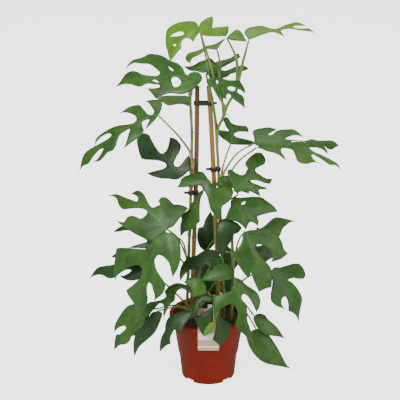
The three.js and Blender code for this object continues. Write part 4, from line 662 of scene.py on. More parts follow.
# %% The list of leaves
LEAVES = [
    Leaf("leaf_crown_left", "young", ("stem_right", 612), base=(198.7, 26.5, 0), tip=(170.4, 61.3),
         faces=(-25, 35), through=[(212, 84, 8), (206.5, 60, 12)],
         via="191,31 185.3,36 178,43 173.5,52",
         one="196.5,22.5 193,21.2 186,21.2 178,22.6 171.5,25.7 167.3,29.5 165.9,34 165.7,45 167.3,50.5 "
             "168.7,56.5",
         other="199.6,30.5 197.8,34.5 195.5,38 192.8,42.3 | 190.5,39.3 187,38.2 183.5,39.3 181.2,43.5 "
               "181,48.5 178.5,51.3 174,57",
         holes="169.6,36.8 174.5,33.3 179.5,31.7 183.5,32.3 183.7,34.3 178.5,36 | 172.8,45.2 175,44 "
               "176.2,44.6 175,46.3"),
    Leaf("leaf_crown_young", "young", ("stem_right", 608), base=(201.5, 35.5, 18), tip=(212.9, 16.4),
         faces=(5, 35), through=[(215, 82, 14), (208.5, 58, 16)],
         via="203,28.5 207.5,21.5",
         one="199,33 198.3,28.5 200.4,22.8 204,19.8 208,17.4",
         other="209,36.4 218,36.5 226,36.4 | 228,33 228.8,29.5 228.7,26 | 222,26.7 217,27 212.4,27.9 | "
               "212.9,23.5 213.1,20"),
    Leaf("leaf_crown_middle", "young", ("stem_right", 600), base=(217.3, 49.8, -20), tip=(189.8, 63.8),
         faces=(-20, 68), through=[(219.6, 84, -6), (220.2, 65, -14)],
         via="211,47.2 203.5,49.8 194,54.5 188.5,58.5",
         one="218.5,48 221,44.3 224.5,40 226.3,37.6 | 221,40.5 216,43.5 211,45 206,46 203,48 196,51 "
             "188.5,53.3 185.8,56.5 185.6,59.5",
         other="214,49.8 209,48.9 205.5,49.5 203.5,51.7 200,54.5 195,57 192,58.7 190.9,61"),
    Leaf("leaf_crown_hood", "young", ("stem_right", 660), base=(226.8, 37.8, -50), tip=(246.8, 41.7),
         faces=(10, 60), through=[(236.5, 60, -12), (231, 46, -40)],
         via="234,36.5 241,38.8",
         one="229,35 232.5,32 235.2,30 237.5,29.7 240.3,31 243,34.3 245.2,38.8",
         other="230,39.9 235,40.7 241,41.2"),
    Leaf("leaf_crown_right", "young", ("stem_right", 668), base=(248.8, 40, 0), tip=(316.2, 35),
         faces=(10, 60), through=[(243.5, 60, 6)],
         via="254,33.5 266,30.3 276,30.6 282,28.6 288,27.2 293.5,28.2 303,29.7 310.5,31",
         one="246.3,36.5 244.3,33 245,30.5 248,28 254,26.5 262,25.8 268,27.5 274,28.9 279.8,27.6 284,25.4 "
             "290,23.5 295.5,22.2 300.5,23.1 304.3,25 306.9,26.4 | 303,25.8 297,25.8 292.5,26.9 296,28 "
             "303,28.6 309,28.4 312,30.5",
         other="253,38.4 260,35.7 266,33.6 271.5,32.3 276.5,33 281,35 284.6,36.6 | 282.2,33.3 280.8,30.9 "
               "285.5,29.1 291,28.9 300,30.4 308,31.2 312.5,32.1"),
    Leaf("leaf_left_upper", "leaf", ("stem_left", 640), base=(194, 87.5, 38), tip=(115.7, 87.6),
         faces=(-20, 38),
         via="184,77.3 172,74.6 160,77.3 140,79.7 127,82",
         one="199.5,83.5 202.3,78.5 200.3,73.5 195.5,71.8 190.3,72.7 187.2,75.2 184.8,72.5 183,68 "
             "178,63.5 171,60.8 163,56 156,54.2 149,54 142.5,57.3 133,60 128.5,64 125.2,69 | 130,65 "
             "134,63 141,63.7 150,64.5 156,69 159.9,73.2 157,75.7 149,75.4 142.5,74.3 137,71.6 131.5,71 "
             "126,73.8 121,80.5",
         other="191,91 184,94 178,94.2 170,93.3 163,95.3 156.3,99 | 153,95 149.8,91.3 147.3,88.2 | "
               "152,88.3 157,87.9 159.8,86.9 159.4,85.2 154,84.5 149.5,83.7 145,84.5 141,86.6 136.5,86.2 "
               "131,84.5 125,84.1 120,85.3",
         holes="171.2,80 173,77.3 176.5,77.2 179.5,79.3 180.9,82.3 179.7,85.3 176.5,87 174,86.8 | "
               "168.3,66.6 171,67.9 173.8,70.9 171,70.2 | 152.3,80.8 154.5,79.7 157.3,81 158.8,82.8 "
               "155.8,81.8"),
    Leaf("leaf_collar", "leaf", ("stem_right", 600), base=(217.3, 66, -5), tip=(183.8, 66), faces=(-5, 60),
         via="207,67 196,68.3",
         one="214,61.2 211,58.4 207.5,58.8 203.5,60.5 199,61.8 194,65 189,66.3",
         other="215.5,70.5 209,72 203,73 197,71.5 190,70.6 186.5,68.7"),
    Leaf("leaf_left_under", "pale", ("stem_left", 600), base=(190.5, 101, -20), tip=(157.5, 98.8),
         faces=(-15, 65),
         via="180,100.2 168,100.3",
         one="188.5,96.5 180,95.6 170,95.6 162,96.2",
         other="189,106 184,104.6 178,104.1 172,105.4 168,105.6 163,102.8"),
    Leaf("leaf_back_upper", "leaf", ("stem_right", 560), base=(206, 74, -32), tip=(248.8, 68.8),
         faces=(15, 50),
         via="213,72.5 220,73.5 228,72.2 238,69.2",
         one="208,68.5 213,63.5 218,61 225,59.6 231,57.5 235.5,54.6 238.3,53.5 240.5,56.9 | 237,59.8 "
             "232,62.5 226.5,65.5 221.5,68.6 223,70.6 229,69.4 235,66.7 241,65.8 245.5,66.2",
         other="212,78 220,78.5 227.5,76.7 230.5,74.3 237,72.4 244,71"),
    Leaf("leaf_right_upper", "leaf", ("stem_right", 540), base=(207, 79, 42), tip=(245.4, 108.8),
         faces=(25, 40),
         via="212,84.3 218,87.2 228,91.3 236,96 241.5,101.5",
         one="212.5,77.3 220,77.8 228,80 234,80.2 239.6,81 242.5,85 244.8,89 245,93.7 | 241,90.3 236,88 "
             "230,86.6 227.3,88.3 231,90.8 236.3,90.9 238.6,93.3 242,95 244,98.5 244.4,104",
         other="206.3,82.5 209.5,85.6 213.3,88.3 216.5,93 222,97.3 227.3,100 | 226.2,96.8 227.3,94.2 "
               "229.8,94.3 231.2,97 234,99.7 238,102.6 242,105.6",
         holes="214.5,83.2 215.5,81 217.6,80.4 218.2,82.3 217,83.8 | 219.5,82.1 220.7,81.1 221.6,81.9 "
               "220.4,82.9"),
    Leaf("leaf_left_long", "leaf", ("stem_left", 440), base=(158.3, 115.4, 70), tip=(79.3, 171.8),
         faces=(-30, 40), through=[(192, 158, 26), (181, 139, 50)],
         via="150,117 143,119.2 138.5,121.6 134,124.3 129.5,126.4 119.5,130.3 112.7,137 104,144.9 "
             "94,151.8 86,160",
         one="160.3,112.3 161.9,107 162.3,103.3 159.5,99.8 155,99.7 150,100 145.2,101.4 | 148.3,102.8 "
             "151,106.5 153.9,111.5 152.5,114.6 148.5,114.3 144.5,110.3 140,105.3 135,105.2 129.5,106.8 "
             "124.5,109.8 119.5,114 | 123.5,112.4 129.5,113.3 135,116 136.5,119 134,122.6 128,124.3 "
             "119,125.3 111,128 103,132.7 97.3,137.2 95.3,141 94.4,145.3 | 98.5,139.7 104,135.2 "
             "109.5,133.5 111.4,135 107.5,139 99.5,143.6 91.5,148 85.3,152.6 82,159 80.8,164.5",
         other="157,117.6 153.5,121.7 149.5,125.7 144.9,129.8 | 147,125 149.4,119.7 145,120.4 142.4,121.8 "
               "142.3,125.5 143.9,130.3 141,135.5 135,140.2 128.5,144.8 123.5,148.7 | 126,142.5 128,135.5 "
               "129.8,128.9 124.5,131.8 120,135 117.5,140.5 115.5,147 112.5,150.8 108,152.3 104,156.8 "
               "99.5,161 92.2,162 | 96.5,159.7 100.3,154.7 103.3,148.5 100,149.7 95,154.5 90.8,160.3 "
               "88.5,163.8 84.5,165.3 81.8,167.5"),
    Leaf("leaf_right_inner", "leaf", ("stem_right", 440), base=(230.5, 144.6, -15), tip=(222.5, 118.3),
         faces=(10, 25),
         via="231.3,138 231,131.5 228,124.5",
         one="226.5,141.3 221.5,137.8 217.5,133 214.8,128.8 | 219.5,129.8 225,130.6 228.5,130.9 "
             "225.8,126.5",
         other="236,144.9 246,145.1 253,145 255.3,142.8 | 251,140.5 243.5,138.6 236.5,136.8 233.8,134.5 "
               "237,132.2 243,131.8 248.6,132.2 | 248.3,128.7 246.5,126.2 240.5,125.5 235,124.5 "
               "231.3,122.7 229.3,119.3 226.5,117"),
    Leaf("leaf_right_long", "leaf", ("stem_right", 452), base=(253.5, 143.4, 34), tip=(339, 146),
         faces=(15, 62),
         via="262,140.5 274,140.7 286,144 297,146.3 308,144.8 316,142.9 324,142.6 332,144",
         one="254.3,139 252.8,134 253.3,130.8 257,128.9 262,128.1 267,127.3 272,127.9 276.8,129.4 | "
             "273,131.6 268,134.6 271.8,134.8 275.3,131.7 279.3,129.9 286,129.4 292.5,129.2 297.3,131.5 "
             "301.3,135 304.2,138 | 300,135.9 295.5,135.2 290,136.3 285.3,138.8 291,139.8 299,140.3 "
             "306,140.5 311.5,139.1 317,140.4 325,140.5 331.5,140.5 336,142.8",
         other="258,146.2 267,146.4 280,147.2 293,148 302,148 312,147.5 318.5,148 323.5,150.2 327.8,154.8 "
               "| 327,150.5 325,147 323.4,144.6 326,147.3 328.8,149.4 332.5,149.3 336,147",
         holes="290.8,141.2 297,141 304.5,141.8 305.5,143.2 300,144.9 295,143.9"),
    Leaf("leaf_right_long_under", "pale", ("stem_right", 425), base=(256, 147.5, 4), tip=(341, 170.3),
         faces=(196, 25),
         via="268,147.5 281,146.3 295,147 304,149.8 312.5,152.7 322,157.4 332,162.2 337,165.3",
         one="261,148.9 267,151.3 274,153 279.5,155.5 286.6,161.3 | 284.3,156 281.2,151.5 281.8,148.6 "
             "287.5,148.5 292.5,150.4 294.9,155 297,160.7 301,163.3 307,164 313.5,162.4 320.5,163.7 | "
             "315.5,161 312,156.5 312,154.5 318,157.2 324.5,161.5 329.5,164.8 335.5,165.3",
         other="264,145.3 276,143.6 288,142.9 297,141.6 304,142 308.5,146.5 313,151 323,155.5 332,160.2 "
               "337.5,163.7"),
    Leaf("leaf_left_dark", "dark", ("stem_left", 436), base=(189.8, 170.5, 28), tip=(138.5, 135.5),
         faces=(-20, 30),
         via="181,172 174.8,169.3 169.8,163.8 162.5,157.7 151,147.5",
         one="190.3,166 190.3,160 189.2,154.7 | 186.5,157.3 182,163 178.3,166.4 175,166 174,162.8 "
             "176.5,157 180.3,150.5 181,145.5 178.3,141.3 174.8,138.4 169.8,137.4 | 169.2,141 168.2,146.5 "
             "165.6,151.3 162,153.5 159,151.5 154.5,145 151,138.5 149,134.8 144.3,132.9 | 141,133.8",
         other="185.5,174 181.5,177.5 177,179.6 169,179 161,178.5 153.5,176.6 147,173.5 | 151,172 "
               "157,170.4 163,168.8 166,166.7 165.9,164 162.5,161.9 157,160.5 150,160.1 145,159.7 "
               "141.4,158.6 | 139.3,153.5 137.8,147 136.8,141"),
    Leaf("leaf_centre_star", "leaf", ("stem_right", 330), base=(209.8, 180.8, 52), tip=(218.5, 217.8),
         faces=(0, 30),
         via="208.8,186.5 210.8,194 213.3,203 216,211",
         one="207,177.3 204,173 200,171.3 193,173.8 186,175.7 181.7,178.5 179.8,183 177.3,187.5 | "
             "184,187.3 191,186.6 197,185.6 200.8,186.2 203.3,190 206.2,194.3 207.7,198.5 209,204 "
             "210.4,209.5 213.8,213.6",
         other="211.3,182.3 212.2,185.6 215.5,187.6 221,187.4 227,187.2 231.6,188.3 233.3,192.3 "
               "231.3,198.5 | 229,201.5 226,203.8 223,205.7 221.8,208 221.8,213"),
    Leaf("leaf_right_round", "leaf", ("stem_right", 400), base=(234, 190, 62), tip=(261.5, 152.8),
         faces=(20, 30), through=[(238, 194, 50)],
         via="240,184.3 246,178.4 250,173.3 251.8,168 256,159.5",
         one="231.5,184 229.5,178 227.2,173.3 | 227.8,170.3 230,169.2 234.5,171.8 239,174.3 242.3,175 "
             "245,173.5 246.5,170.5 247.6,168.3 245.6,166 245,163.2 247.5,159.3 252,155 256.5,152.4",
         other="237,192.6 243,191.2 249,191.3 255,193.7 260.5,196.8 | 259.7,193.5 258.9,189.8 263,189.5 "
               "268.5,188.9 | 264,186.8 257.5,185.2 252.5,183 248.3,181 253,180.3 259,181 265,183.3 "
               "270,184 | 271.3,181.7 272.3,178.4 | 268.5,178.7 264.5,177.5 259.5,174.4 255.8,171.5 "
               "255.6,169 259.5,166.7 264.3,164 265.8,160.3 264,156"),
    Leaf("leaf_right_folded", "leaf", ("stem_right", 360), base=(217.5, 181, 34), tip=(232.5, 186),
         faces=(0, 50),
         via="225,180.8",
         one="219,178 223,176.2 228,175.7 231.8,177.8 233.2,181.5",
         other="219,184.5 222.5,186.8 228,187.2"),
    Leaf("leaf_centre_hanging", "leaf", ("stem_left", 330), base=(203.5, 189.3, 33), tip=(180.6, 236.2),
         faces=(-30, 15),
         via="198.5,199 193,210 187,222",
         one="199.5,191.8 196,198 191.5,203.5 188.8,209 184.5,212.5 180.2,214.5 | 181.5,219 180.3,225 "
             "180,230",
         other="203.5,192.5 200.8,198.5 199.9,206 199.8,213 200,221.5 | 197,224.3 194,227.7 190.8,230 | "
               "187.5,231.3 184.6,232.3 182.5,234.8"),
    Leaf("leaf_right_mid", "leaf", ("stem_low_right", 330), base=(231.5, 200.5, 50), tip=(278, 211.8),
         faces=(20, 35),
         via="240,207 251,208.3 264,208.3",
         one="233.5,197.8 241,197.5 249,196.9 257,196.7 262.5,197.6 265.5,200 270.5,203.3 275,207.5",
         other="230.5,206 228,211 226.5,215 225,218.7 | 232,220.5 238.5,222.8 242.5,226 246.2,229.9 | "
               "247.5,226 250,222.2 254,223 257.8,226 | 258.7,221 257.3,217.3 261,215.2 267.5,213.6 "
               "272,212.5",
         holes="241.2,204.2 242.6,202.4 245.3,201.6 245.2,203.1 243,204.6"),
    Leaf("leaf_left_wide", "leaf", ("stem_left", 265), base=(167, 229, 64), tip=(107.5, 195.3),
         faces=(-25, 35),
         via="160,220.5 152.5,213 148.5,209.3 139.5,205 125,201.3 116,197",
         one="173,226.5 180,218 185,212 188.5,208.5 | 184.5,206 178.5,204.4 173.5,204.2 170.5,201 167,198 "
             "163.3,196.9 160,198.3 158.2,201.3 | 160,204.2 158,205.6 152.3,207.4 149.3,204.5 146.3,198.5 "
             "143.7,193.8 140,190.9 136,190.7 130.8,194.1 | 134.5,194.9 137.6,197.5 137.2,201.2 131,199.5 "
             "123.5,196.7 117,194.1",
         other="164.5,234 158,240 149.8,242.2 | 143,238 135.5,234.3 127,228.8 120.5,224.5 116,219.9 | "
               "119.5,221.4 124,222 127,217.5 131,215.5 136.5,216.8 140.5,218.6 145,216 147.3,212.3 "
               "145,209.7 138,208.3 130,208.8 122.7,209.1 118.5,204.5 116.7,199.3 113.5,196.6"),
    Leaf("leaf_right_back", "leaf", ("stem_low_right", 290), base=(258, 236, 0), tip=(295.8, 221.4),
         faces=(20, 35),
         via="266,231 276,225.5 286,221.6",
         one="256.5,231 256.5,227 259.5,228.2 263,226.8 268.5,222 272.5,218.5 275.5,217.3 281,217.7 "
             "288,219.2",
         other="266,238 275,238.5 279.5,236.3 281.3,232.3 282.5,229 286.5,225.3 290,222.5"),
    Leaf("leaf_centre_dark", "dark", ("stem_low_right", 300), base=(233, 221, 58), tip=(223.2, 259),
         faces=(0, 20),
         via="227,228 223,240 222,250",
         one="226,218.5 220.5,220 217,224 216.2,232 216,241 217,250",
         other="238,223.5 241.5,228 238.5,232.5 234.3,234.3 232.5,238 230.5,242 227,247.5 224.7,253"),
    Leaf("leaf_right_big", "leaf", ("stem_low_right", 270), base=(245, 231.5, 92), tip=(259, 292),
         faces=(15, 22),
         via="247.5,239 250.5,248 254.5,259 258,270 259.8,281",
         one="242.7,235 241.8,241 239,246.5 235.8,251.5 234.7,256.5 237,263 241,269.5 245,274.8 "
             "248.8,278.3 | 250,275 250.8,272.8 252.3,277 255,284",
         other="249,230.2 257,229.5 265,229 271.5,230 276.5,233.3 280.3,239 282.7,244 283.4,248 "
               "287.9,253.6 | 284.5,256.5 280,259.6 275,261.1 271.4,262.3 | 272.4,257 271,251 266.5,247.2 "
               "261.5,244.7 257,244.8 255.7,248.2 259,253.7 263.5,259.5 268,264 271,268.5 272.3,276 "
               "271.3,287.5 | 267,288.2 263,290"),
    Leaf("leaf_left_behind", "dark", ("stem_left", 250), base=(153, 244, 32), tip=(113, 232.3),
         faces=(-20, 40),
         via="148,238.5 139,232 127,228",
         one="150,236 144,230.5 136,227 126,224.9 118,228",
         other="150,248 140,248.2 128,247.8 | 134,245.5 142,243.2 147,241.3 140,236.3 128,230.4 "
               "120.5,231.4"),
    Leaf("leaf_front_left", "leaf", ("stem_left", 240), base=(165, 232.5, 92), tip=(138.3, 322.5),
         faces=(-25, 20), through=[(182, 241, 50)],
         via="158,244 151.5,257 147.8,270 143.8,285 140.3,303",
         one="160,233.5 154,238.5 150.5,244 146.5,248.5 140,248.8 133,248.3 126,247.8 119,247.7 "
             "116.2,248.6 | 115.7,254 114.7,260 113.9,267 114.2,274 115.5,281.2 | 116.5,276.5 119.5,272.6 "
             "125,269.6 131,266.2 137,265 140.8,266.4 141.8,270.5 141,276 137.8,280.3 133,284.8 "
             "126.1,290.1 | 128,295 131.7,300.3 134.6,306 136.3,315",
         other="170.5,232.5 175.5,235 179,240.8 180.6,248 180.8,257 178.5,267 172.6,277.8 | 171,271 "
               "169.3,264 165,258.3 161.5,255.7 158,255.4 155.3,258.5 155,264 157.3,271 161,276.7 "
               "164.8,282.5 165.3,287.5 162.5,294 153.6,301 | 154.6,296.5 153,290 151,284 148.7,282.8 "
               "147.2,286.5 147.1,293 147.9,300 145,309 141,317"),
    Leaf("leaf_low_centre_back", "dark", ("stem_front", 230), base=(222, 260, 62), tip=(179.8, 281.3),
         faces=(-10, 45),
         via="213,258 203,258.5 194,262.5 186,267 181.5,274",
         one="218,252.5 213,249.6 206,249.8 200.5,252.5 195,256.2 188.5,257.5 184.5,261 181.5,266 "
             "179.6,273",
         other="220,265 215,266 211,268.5 209.3,271 | 208.3,266 205.5,264.2 203.2,266 201,270.5 199,275.5 "
               "| 198.4,271 194,269.6 188,271 184,275.5 182,278.5"),
    Leaf("leaf_low_centre", "leaf", ("stem_low_right", 230), base=(234, 272, 90), tip=(200.3, 280.5),
         faces=(-5, 40),
         via="224,270.5 213,274.8",
         one="232,267.5 228,264.5 222,262.9 217,264.5 212,269 206,273.5 202,278",
         other="232,278.5 226,280.2 218,280.3 209,281"),
    Leaf("leaf_left_low_behind", "dark", ("stem_front", 150), base=(146, 266, 45), tip=(89.5, 278.2),
         faces=(-25, 35), through=[(170, 288, 35)],
         via="133,264 119,267.3 106,270.8 96,273",
         one="141,255 130,250.5 119,251.5 110.9,257 | 117,258.5 119.5,261.5 113,264.6 106,265.6 98,267.5 "
             "94.5,271",
         other="146,272 141.5,278 134,280.6 126.5,280 119.3,275.8 | 125.5,274.8 131.3,270.4 127,269.7 "
               "120.5,273 114,278 108,278.1 102,275.2 95.5,275.3"),
    Leaf("leaf_right_far", "leaf", ("stem_low_right", 210), base=(270.5, 272, 38), tip=(298.8, 322.3),
         faces=(30, 25),
         via="278.5,279 286,288.7 291.5,297.5 295.8,309",
         one="274,267.5 280,267.2 287,265.3 293.5,263.6 299,263.8 303.5,268.5 305.7,274.5 | 303.8,278.6 "
             "299,278.9 293,278.1 287.6,279.7 | 292.3,282.8 297,288 300.6,294 302.1,298.5 301,306 "
             "299.4,314",
         other="272.3,278 272,286 270.6,294 271,300.5 275,305.2 281,307.8 287.3,309.6 | 283,306.7 "
               "281.5,302 282.5,298.2 285,296.7 287.3,299.8 288.2,305 288.3,310.9 | 293.5,313.4 296.7,317"),
    Leaf("leaf_front_right", "leaf", ("stem_low_right", 220), base=(234, 277, 96), tip=(254, 344),
         faces=(10, 25),
         via="237.5,286 239.3,296 241.8,307 244.3,319 247.8,331",
         one="233.5,283 234,287.5 230.5,290.7 224,293 218,294.7 213.3,296.8 213.6,303 214,310 213.4,316.6 "
             "| 217.5,312.3 222,308 227.5,304.8 232.8,303.9 236,308 237.9,313 236.8,319 235.6,324.5 "
             "239,330.7 244.5,335 249,341",
         other="240,279 246,284.5 252.5,288.8 257.5,293 260.2,299.5 259.6,306.5 256.6,312.2 | 253.8,306.5 "
               "251,301 247,295.8 243.3,294.2 241.7,297.5 243.5,301.3 246.5,306.5 247.3,313 247,318.5 "
               "249,325 251.8,334"),
    Leaf("leaf_bright_star", "bright", ("stem_front", 210), base=(200, 277.5, 76), tip=(192.8, 297.2),
         faces=(0, 30),
         via="197.5,284 195,291",
         one="193,277.3 187.5,278.8 183.8,282.5 | 188,285.3 191.4,288.5 192.3,293",
         other="204,281.5 206,287 206.5,294.5 | 201.5,295.2 197,296.3"),
    Leaf("leaf_low_arched", "leaf", ("stem_front", 200), base=(191.5, 293.5, 66), tip=(141, 322),
         faces=(-15, 40),
         via="188.3,289.5 183,286.2 175,286.8 170,291.5 169,298 160.5,301.6 152.5,305.3 146,313",
         one="190.5,289.5 187.5,286 182,283.5 176.5,283 171,285 167.3,288 164.5,292 166,296.3 161,299.8 "
             "154,301.3 148,303 144,310",
         other="188.5,292.5 185,289.8 181.5,288.8 178.3,290.3 175.4,295 174.8,300.5 170.5,304 167.3,309.5 "
               "163.6,318.5 | 163.2,312.5 163.7,305.7 160.8,303.2 156.5,306.5 152,311.5 147,317.5"),
    Leaf("leaf_rim_arch", "dark", ("stem_front", 190), base=(213.8, 299.5, 100), tip=(193, 317.5),
         faces=(-10, 30), through=[(205, 290, 70)],
         via="206,298.5 199,300 196,306 194.8,312",
         one="211.5,296.2 206.5,294.6 200,296.3 195,299 192.6,304 191.8,311",
         other="211,302.2 205,302.2 200.6,303.5 199.6,309 196.5,315"),
    Leaf("leaf_low_left", "leaf", ("stem_front", 160), base=(152.5, 309.5, 58), tip=(114.2, 350.2),
         faces=(-25, 20),
         via="144,315 135,324 127.5,334 121,342",
         one="149,304.5 141,302.5 134,303.8 128.5,305.5 124,309.5 119.5,316 115.7,322.7 114.2,328 "
             "114.5,332.4 | 117,329 120.5,326.8 124.5,326 126,327.8 123,331.3 119.3,334.2 116.5,334.2 "
             "115,339 114.3,345",
         other="149.5,315 147.5,321.5 144.5,328 140,331.5 135,335.5 131.5,336.5 130.2,340 127,343.7 "
               "123,344.6 119.5,345.3"),
    Leaf("leaf_low_left_dark", "dark", ("stem_front", 155), base=(157, 311, 82), tip=(134.4, 357),
         faces=(-20, 20),
         via="153,321 146,331 138.5,342.5",
         one="152,312.5 147.5,319 141,327.5 136,333.5 133.7,341 133.5,349",
         other="162.3,312.8 161.5,318 158,327 154.5,333 146,341 139,347.3"),
    Leaf("leaf_rim_front", "dark", ("stem_front", 185), base=(214.3, 304.5, 94), tip=(203.6, 336.5),
         faces=(-5, 20), through=[(210, 297, 78)],
         via="211.5,312 208.5,321 205.5,330",
         one="210.5,308.3 205,312.3 199.5,315.2 193.8,316 | 196,321.5 198.8,328.5",
         other="215,311 215,320 212.5,328 208,333"),
    Leaf("leaf_rim_left", "dark", ("stem_front", 165), base=(193, 312, 88), tip=(159.7, 352), faces=(-20, 30),
         via="184,315.5 175,321.5 169,329 164.5,340",
         one="185,310.8 177,312.5 171.5,315 167.5,319 165.3,325 164.7,330.5 161.7,336.5 160,343.5",
         other="190.5,318 185.5,324 182.2,329.5 179.7,336.5 | 177.7,331.8 175.3,329.3 172,334 170.2,339 "
               "170.8,344 | 167,345.3 163,348.7"),
    Leaf("leaf_rim_dark", "dark", ("stem_front", 182), base=(218.5, 312.5, 102), tip=(220.3, 346.3),
         faces=(5, 15), through=[(216, 296, 84)],
         via="219,323 220,335",
         one="216.8,318 215.8,326 214.3,334.5 212.3,339.2 | 216,342.2",
         other="221.5,316 225,320.3 231.5,324 | 229.8,331 228.5,336.3 224.5,341.5"),
    Leaf("leaf_young_oval", "young", ("stem_front", 178), base=(214, 322.8, 112), tip=(203.3, 336.3),
         faces=(-5, 10), through=[(213, 298, 92)],
         via="209,329.3",
         one="211.3,321.9 207.5,325.3 204.3,331",
         other="214.5,326.5 211.5,331.3 207.3,335.2"),
    Leaf("leaf_right_low", "leaf", ("stem_low_right", 190), base=(254, 315.5, 60), tip=(284.9, 338.8),
         faces=(25, 30),
         via="262,321.5 272,329",
         one="258.5,313.5 264.5,314.8 268,319 272.5,323 277.5,327.8 281.3,333.3",
         other="253.3,319 255.7,325.5 260,330.5 266,334.7 273,336 279.5,336.9"),
    Leaf("leaf_right_entire", "leaf", ("stem_low_right", 180), base=(256, 328.5, 50), tip=(291.6, 368.8),
         faces=(20, 20),
         via="262,340 271,351.5 281,361.5",
         one="250.5,331.5 246.5,337 248,343.5 252,351.5 258.5,359 265,363 273,365.1 282,366.7",
         other="262,329.5 268,334 273,340.5 278,348.3 282.5,357 287,365"),
    Leaf("leaf_back_high", "leaf", ("stem_back", 400), base=(214, 184, -64), tip=(263, 187), faces=(165, 40),
         via="230,185 246,185.5",
         one="220,180.5 226,176.8 231,176 | 232,180.5 237,182 242,180 251,177.8 | 251,181.7 256,184",
         other="219,187.5 224,192 229,193.3 | 231,189 236,188 242,191.5 249,193.8 | 250,190 256,188.7"),
    # These leaves behind the canes fill dark gaps in the middle of the plant; their "dark" tone is painted
    # shade.
    Leaf("leaf_back_left", "dark", ("stem_back", 300), base=(206, 252, -52), tip=(210.5, 211), faces=(0, 25),
         via="207,238 209,224",
         one="200,247 197,238 198,228 | 203,226 205,220",
         other="213,246 218,236 219,226 | 215,222 213,216"),
    Leaf("leaf_back_right", "dark", ("stem_back", 270), base=(246, 262, -60), tip=(277, 243), faces=(20, 30),
         via="255,256.5 266,250",
         one="247,252 252,244 | 258,246 263,244 267,238 | 271,240",
         other="253,267 262,268 | 266,262 272,258 278,256 | 277,250"),
    Leaf("leaf_back_middle", "dark", ("stem_back", 200), base=(205, 302, -48), tip=(203, 262), faces=(0, 25),
         via="205,290 204,276",
         one="198,298 190,293 185,285 | 191,281 193,276 190,268 | 197,265",
         other="212,299 219,293 224,286 | 218,281 214,277 217,268 | 209,264"),
    Leaf("leaf_back_low", "dark", ("stem_back", 190), base=(229, 298, -46), tip=(228, 246), faces=(8, 25),
         via="229,282 228.5,264",
         one="222,294 217,287 | 221,279 222,272 218,263 | 222,256 225,250",
         other="234,293 240,286 | 236,279 234,272 240,262 | 236,255 231,249"),
]
blades = [make_blade(leaf, number) for number, leaf in enumerate(LEAVES)]
print("blades:", len(blades), "faces:", sum(len(blade.data.polygons) for blade in blades))

# %% [markdown]
# ## Canes, stems and stalks
# Canes and stems are round tubes along smooth curves. A curve object with a bevel makes such a tube, and
# takes a radius of its own at each point. The same kind of curve is used as in the CAD model, a
# centripetal Catmull-Rom spline, so that each stalk meets its blade.

# %% Tubes along curves


def at_height(points, z):
    return points[np.abs(points[:, 2] - z).argmin()]


def bulge(along, middle, width):
    """A soft swelling, 1 at its middle."""
    return np.exp(-((along - middle) / width) ** 2)


def tubes(name, lines, sides=3):
    """One mesh of round tubes: each line is its points and its radii, in mm."""
    curve = bpy.data.curves.new(name, "CURVE")
    curve.dimensions = "3D"
    curve.bevel_depth = MM
    curve.bevel_resolution = sides
    curve.use_fill_caps = True
    for points, radii in lines:
        spline = curve.splines.new("POLY")
        spline.points.add(len(points) - 1)
        spline.points.foreach_set("co", np.hstack([points * MM, np.ones((len(points), 1))]).ravel())
        spline.points.foreach_set("radius", np.asarray(radii, float))
    new_piece(name, curve)
    bpy.ops.object.convert(target="MESH")
    piece = bpy.context.object
    piece.name = name
    bpy.ops.object.shade_smooth_by_angle(angle=math.radians(40))
    return piece


CANE_RADIUS = 5
CANE_FOOT = 22
CANE_POINTS = 420
CANES = {
    "cane_left": ((197.3, 86, 0), (196.2, 172, 0), (191.8, 306, 0)),
    "cane_right": ((208.8, 86, 0), (213.6, 172, 0), (219, 306, 0)),
}


def cane_line(name):
    high, mid, low = (seen(*spot) for spot in CANES[name])
    slope = (mid - low) / (mid[2] - low[2])
    return smooth_curve([low + slope * (CANE_FOOT - low[2]), low, mid, high], CANE_POINTS)


cane_lines = {name: cane_line(name) for name in CANES}
print("cane lengths in mm:", [round(length_of(line)) for line in cane_lines.values()])

# %% [markdown]
# A bamboo cane has a raised ring at each joint with a scar line below it, and its skin has fine streaks
# along the cane: noise that is stretched a long way up the cane. The left cane is darkened towards its top
# by painted shade, where it stands behind the leaf stalks. One attribute says where the skin is dark:
# at the scars, and in that painted shade.

# %% Bamboo
bamboo, bamboo_tree, bamboo_shader = new_material("bamboo", Roughness=0.5, Specular_IOR_Level=0.25)
stretched = put(bamboo_tree, "ShaderNodeMapping", Scale=(420, 420, 9),
                Vector=put(bamboo_tree, "ShaderNodeTexCoord").outputs["Object"])
streaks = put(bamboo_tree, "ShaderNodeTexNoise", Scale=1.0, Detail=5.0, Roughness=0.65,
              Vector=stretched.outputs["Vector"]).outputs["Fac"]
skin_ramp = put(bamboo_tree, "ShaderNodeValToRGB", Fac=streaks)
set_ramp(skin_ramp, [(0.3, (0.16, 0.08, 0.012)), (0.72, (0.42, 0.24, 0.055))])
scar_and_shade = put(bamboo_tree, "ShaderNodeAttribute", attribute_name="scar_and_shade")
# The dark colour is put on the scars and on the painted shade at the top of the left cane.
feed(bamboo_tree, bamboo_shader,
     Base_Color=blend(bamboo_tree, scar_and_shade.outputs["Fac"], skin_ramp.outputs["Color"], (0.11, 0.055, 0.025, 1)))
emboss(bamboo_tree, bamboo_shader, streaks, 0.35, 0.0004)
print("material:", bamboo.name)

# %% [markdown]
# The rings are swellings of the tube's radius, one every 150 mm, so they show in the outline too.

# %% Two canes
CANE_JOINT_STEP = 150
RING_HEIGHT, RING_WIDTH = 0.55, 2.2
LOWER_RING_HEIGHT, LOWER_RING_WIDTH, LOWER_RING_DROP = 0.25, 1.2, 4.5
SCAR_AT, SCAR_WIDTH, SCAR_SHARE = 2.6, 0.9, 0.75
SKIN_EASE = 0.15
THICKENING, THICKENING_STEP = 0.012, 37
# Painted shade on the left cane: the height where it starts to darken, and the rise over which it grows.
SHADE_FROM, SHADE_RISE = 330, 120


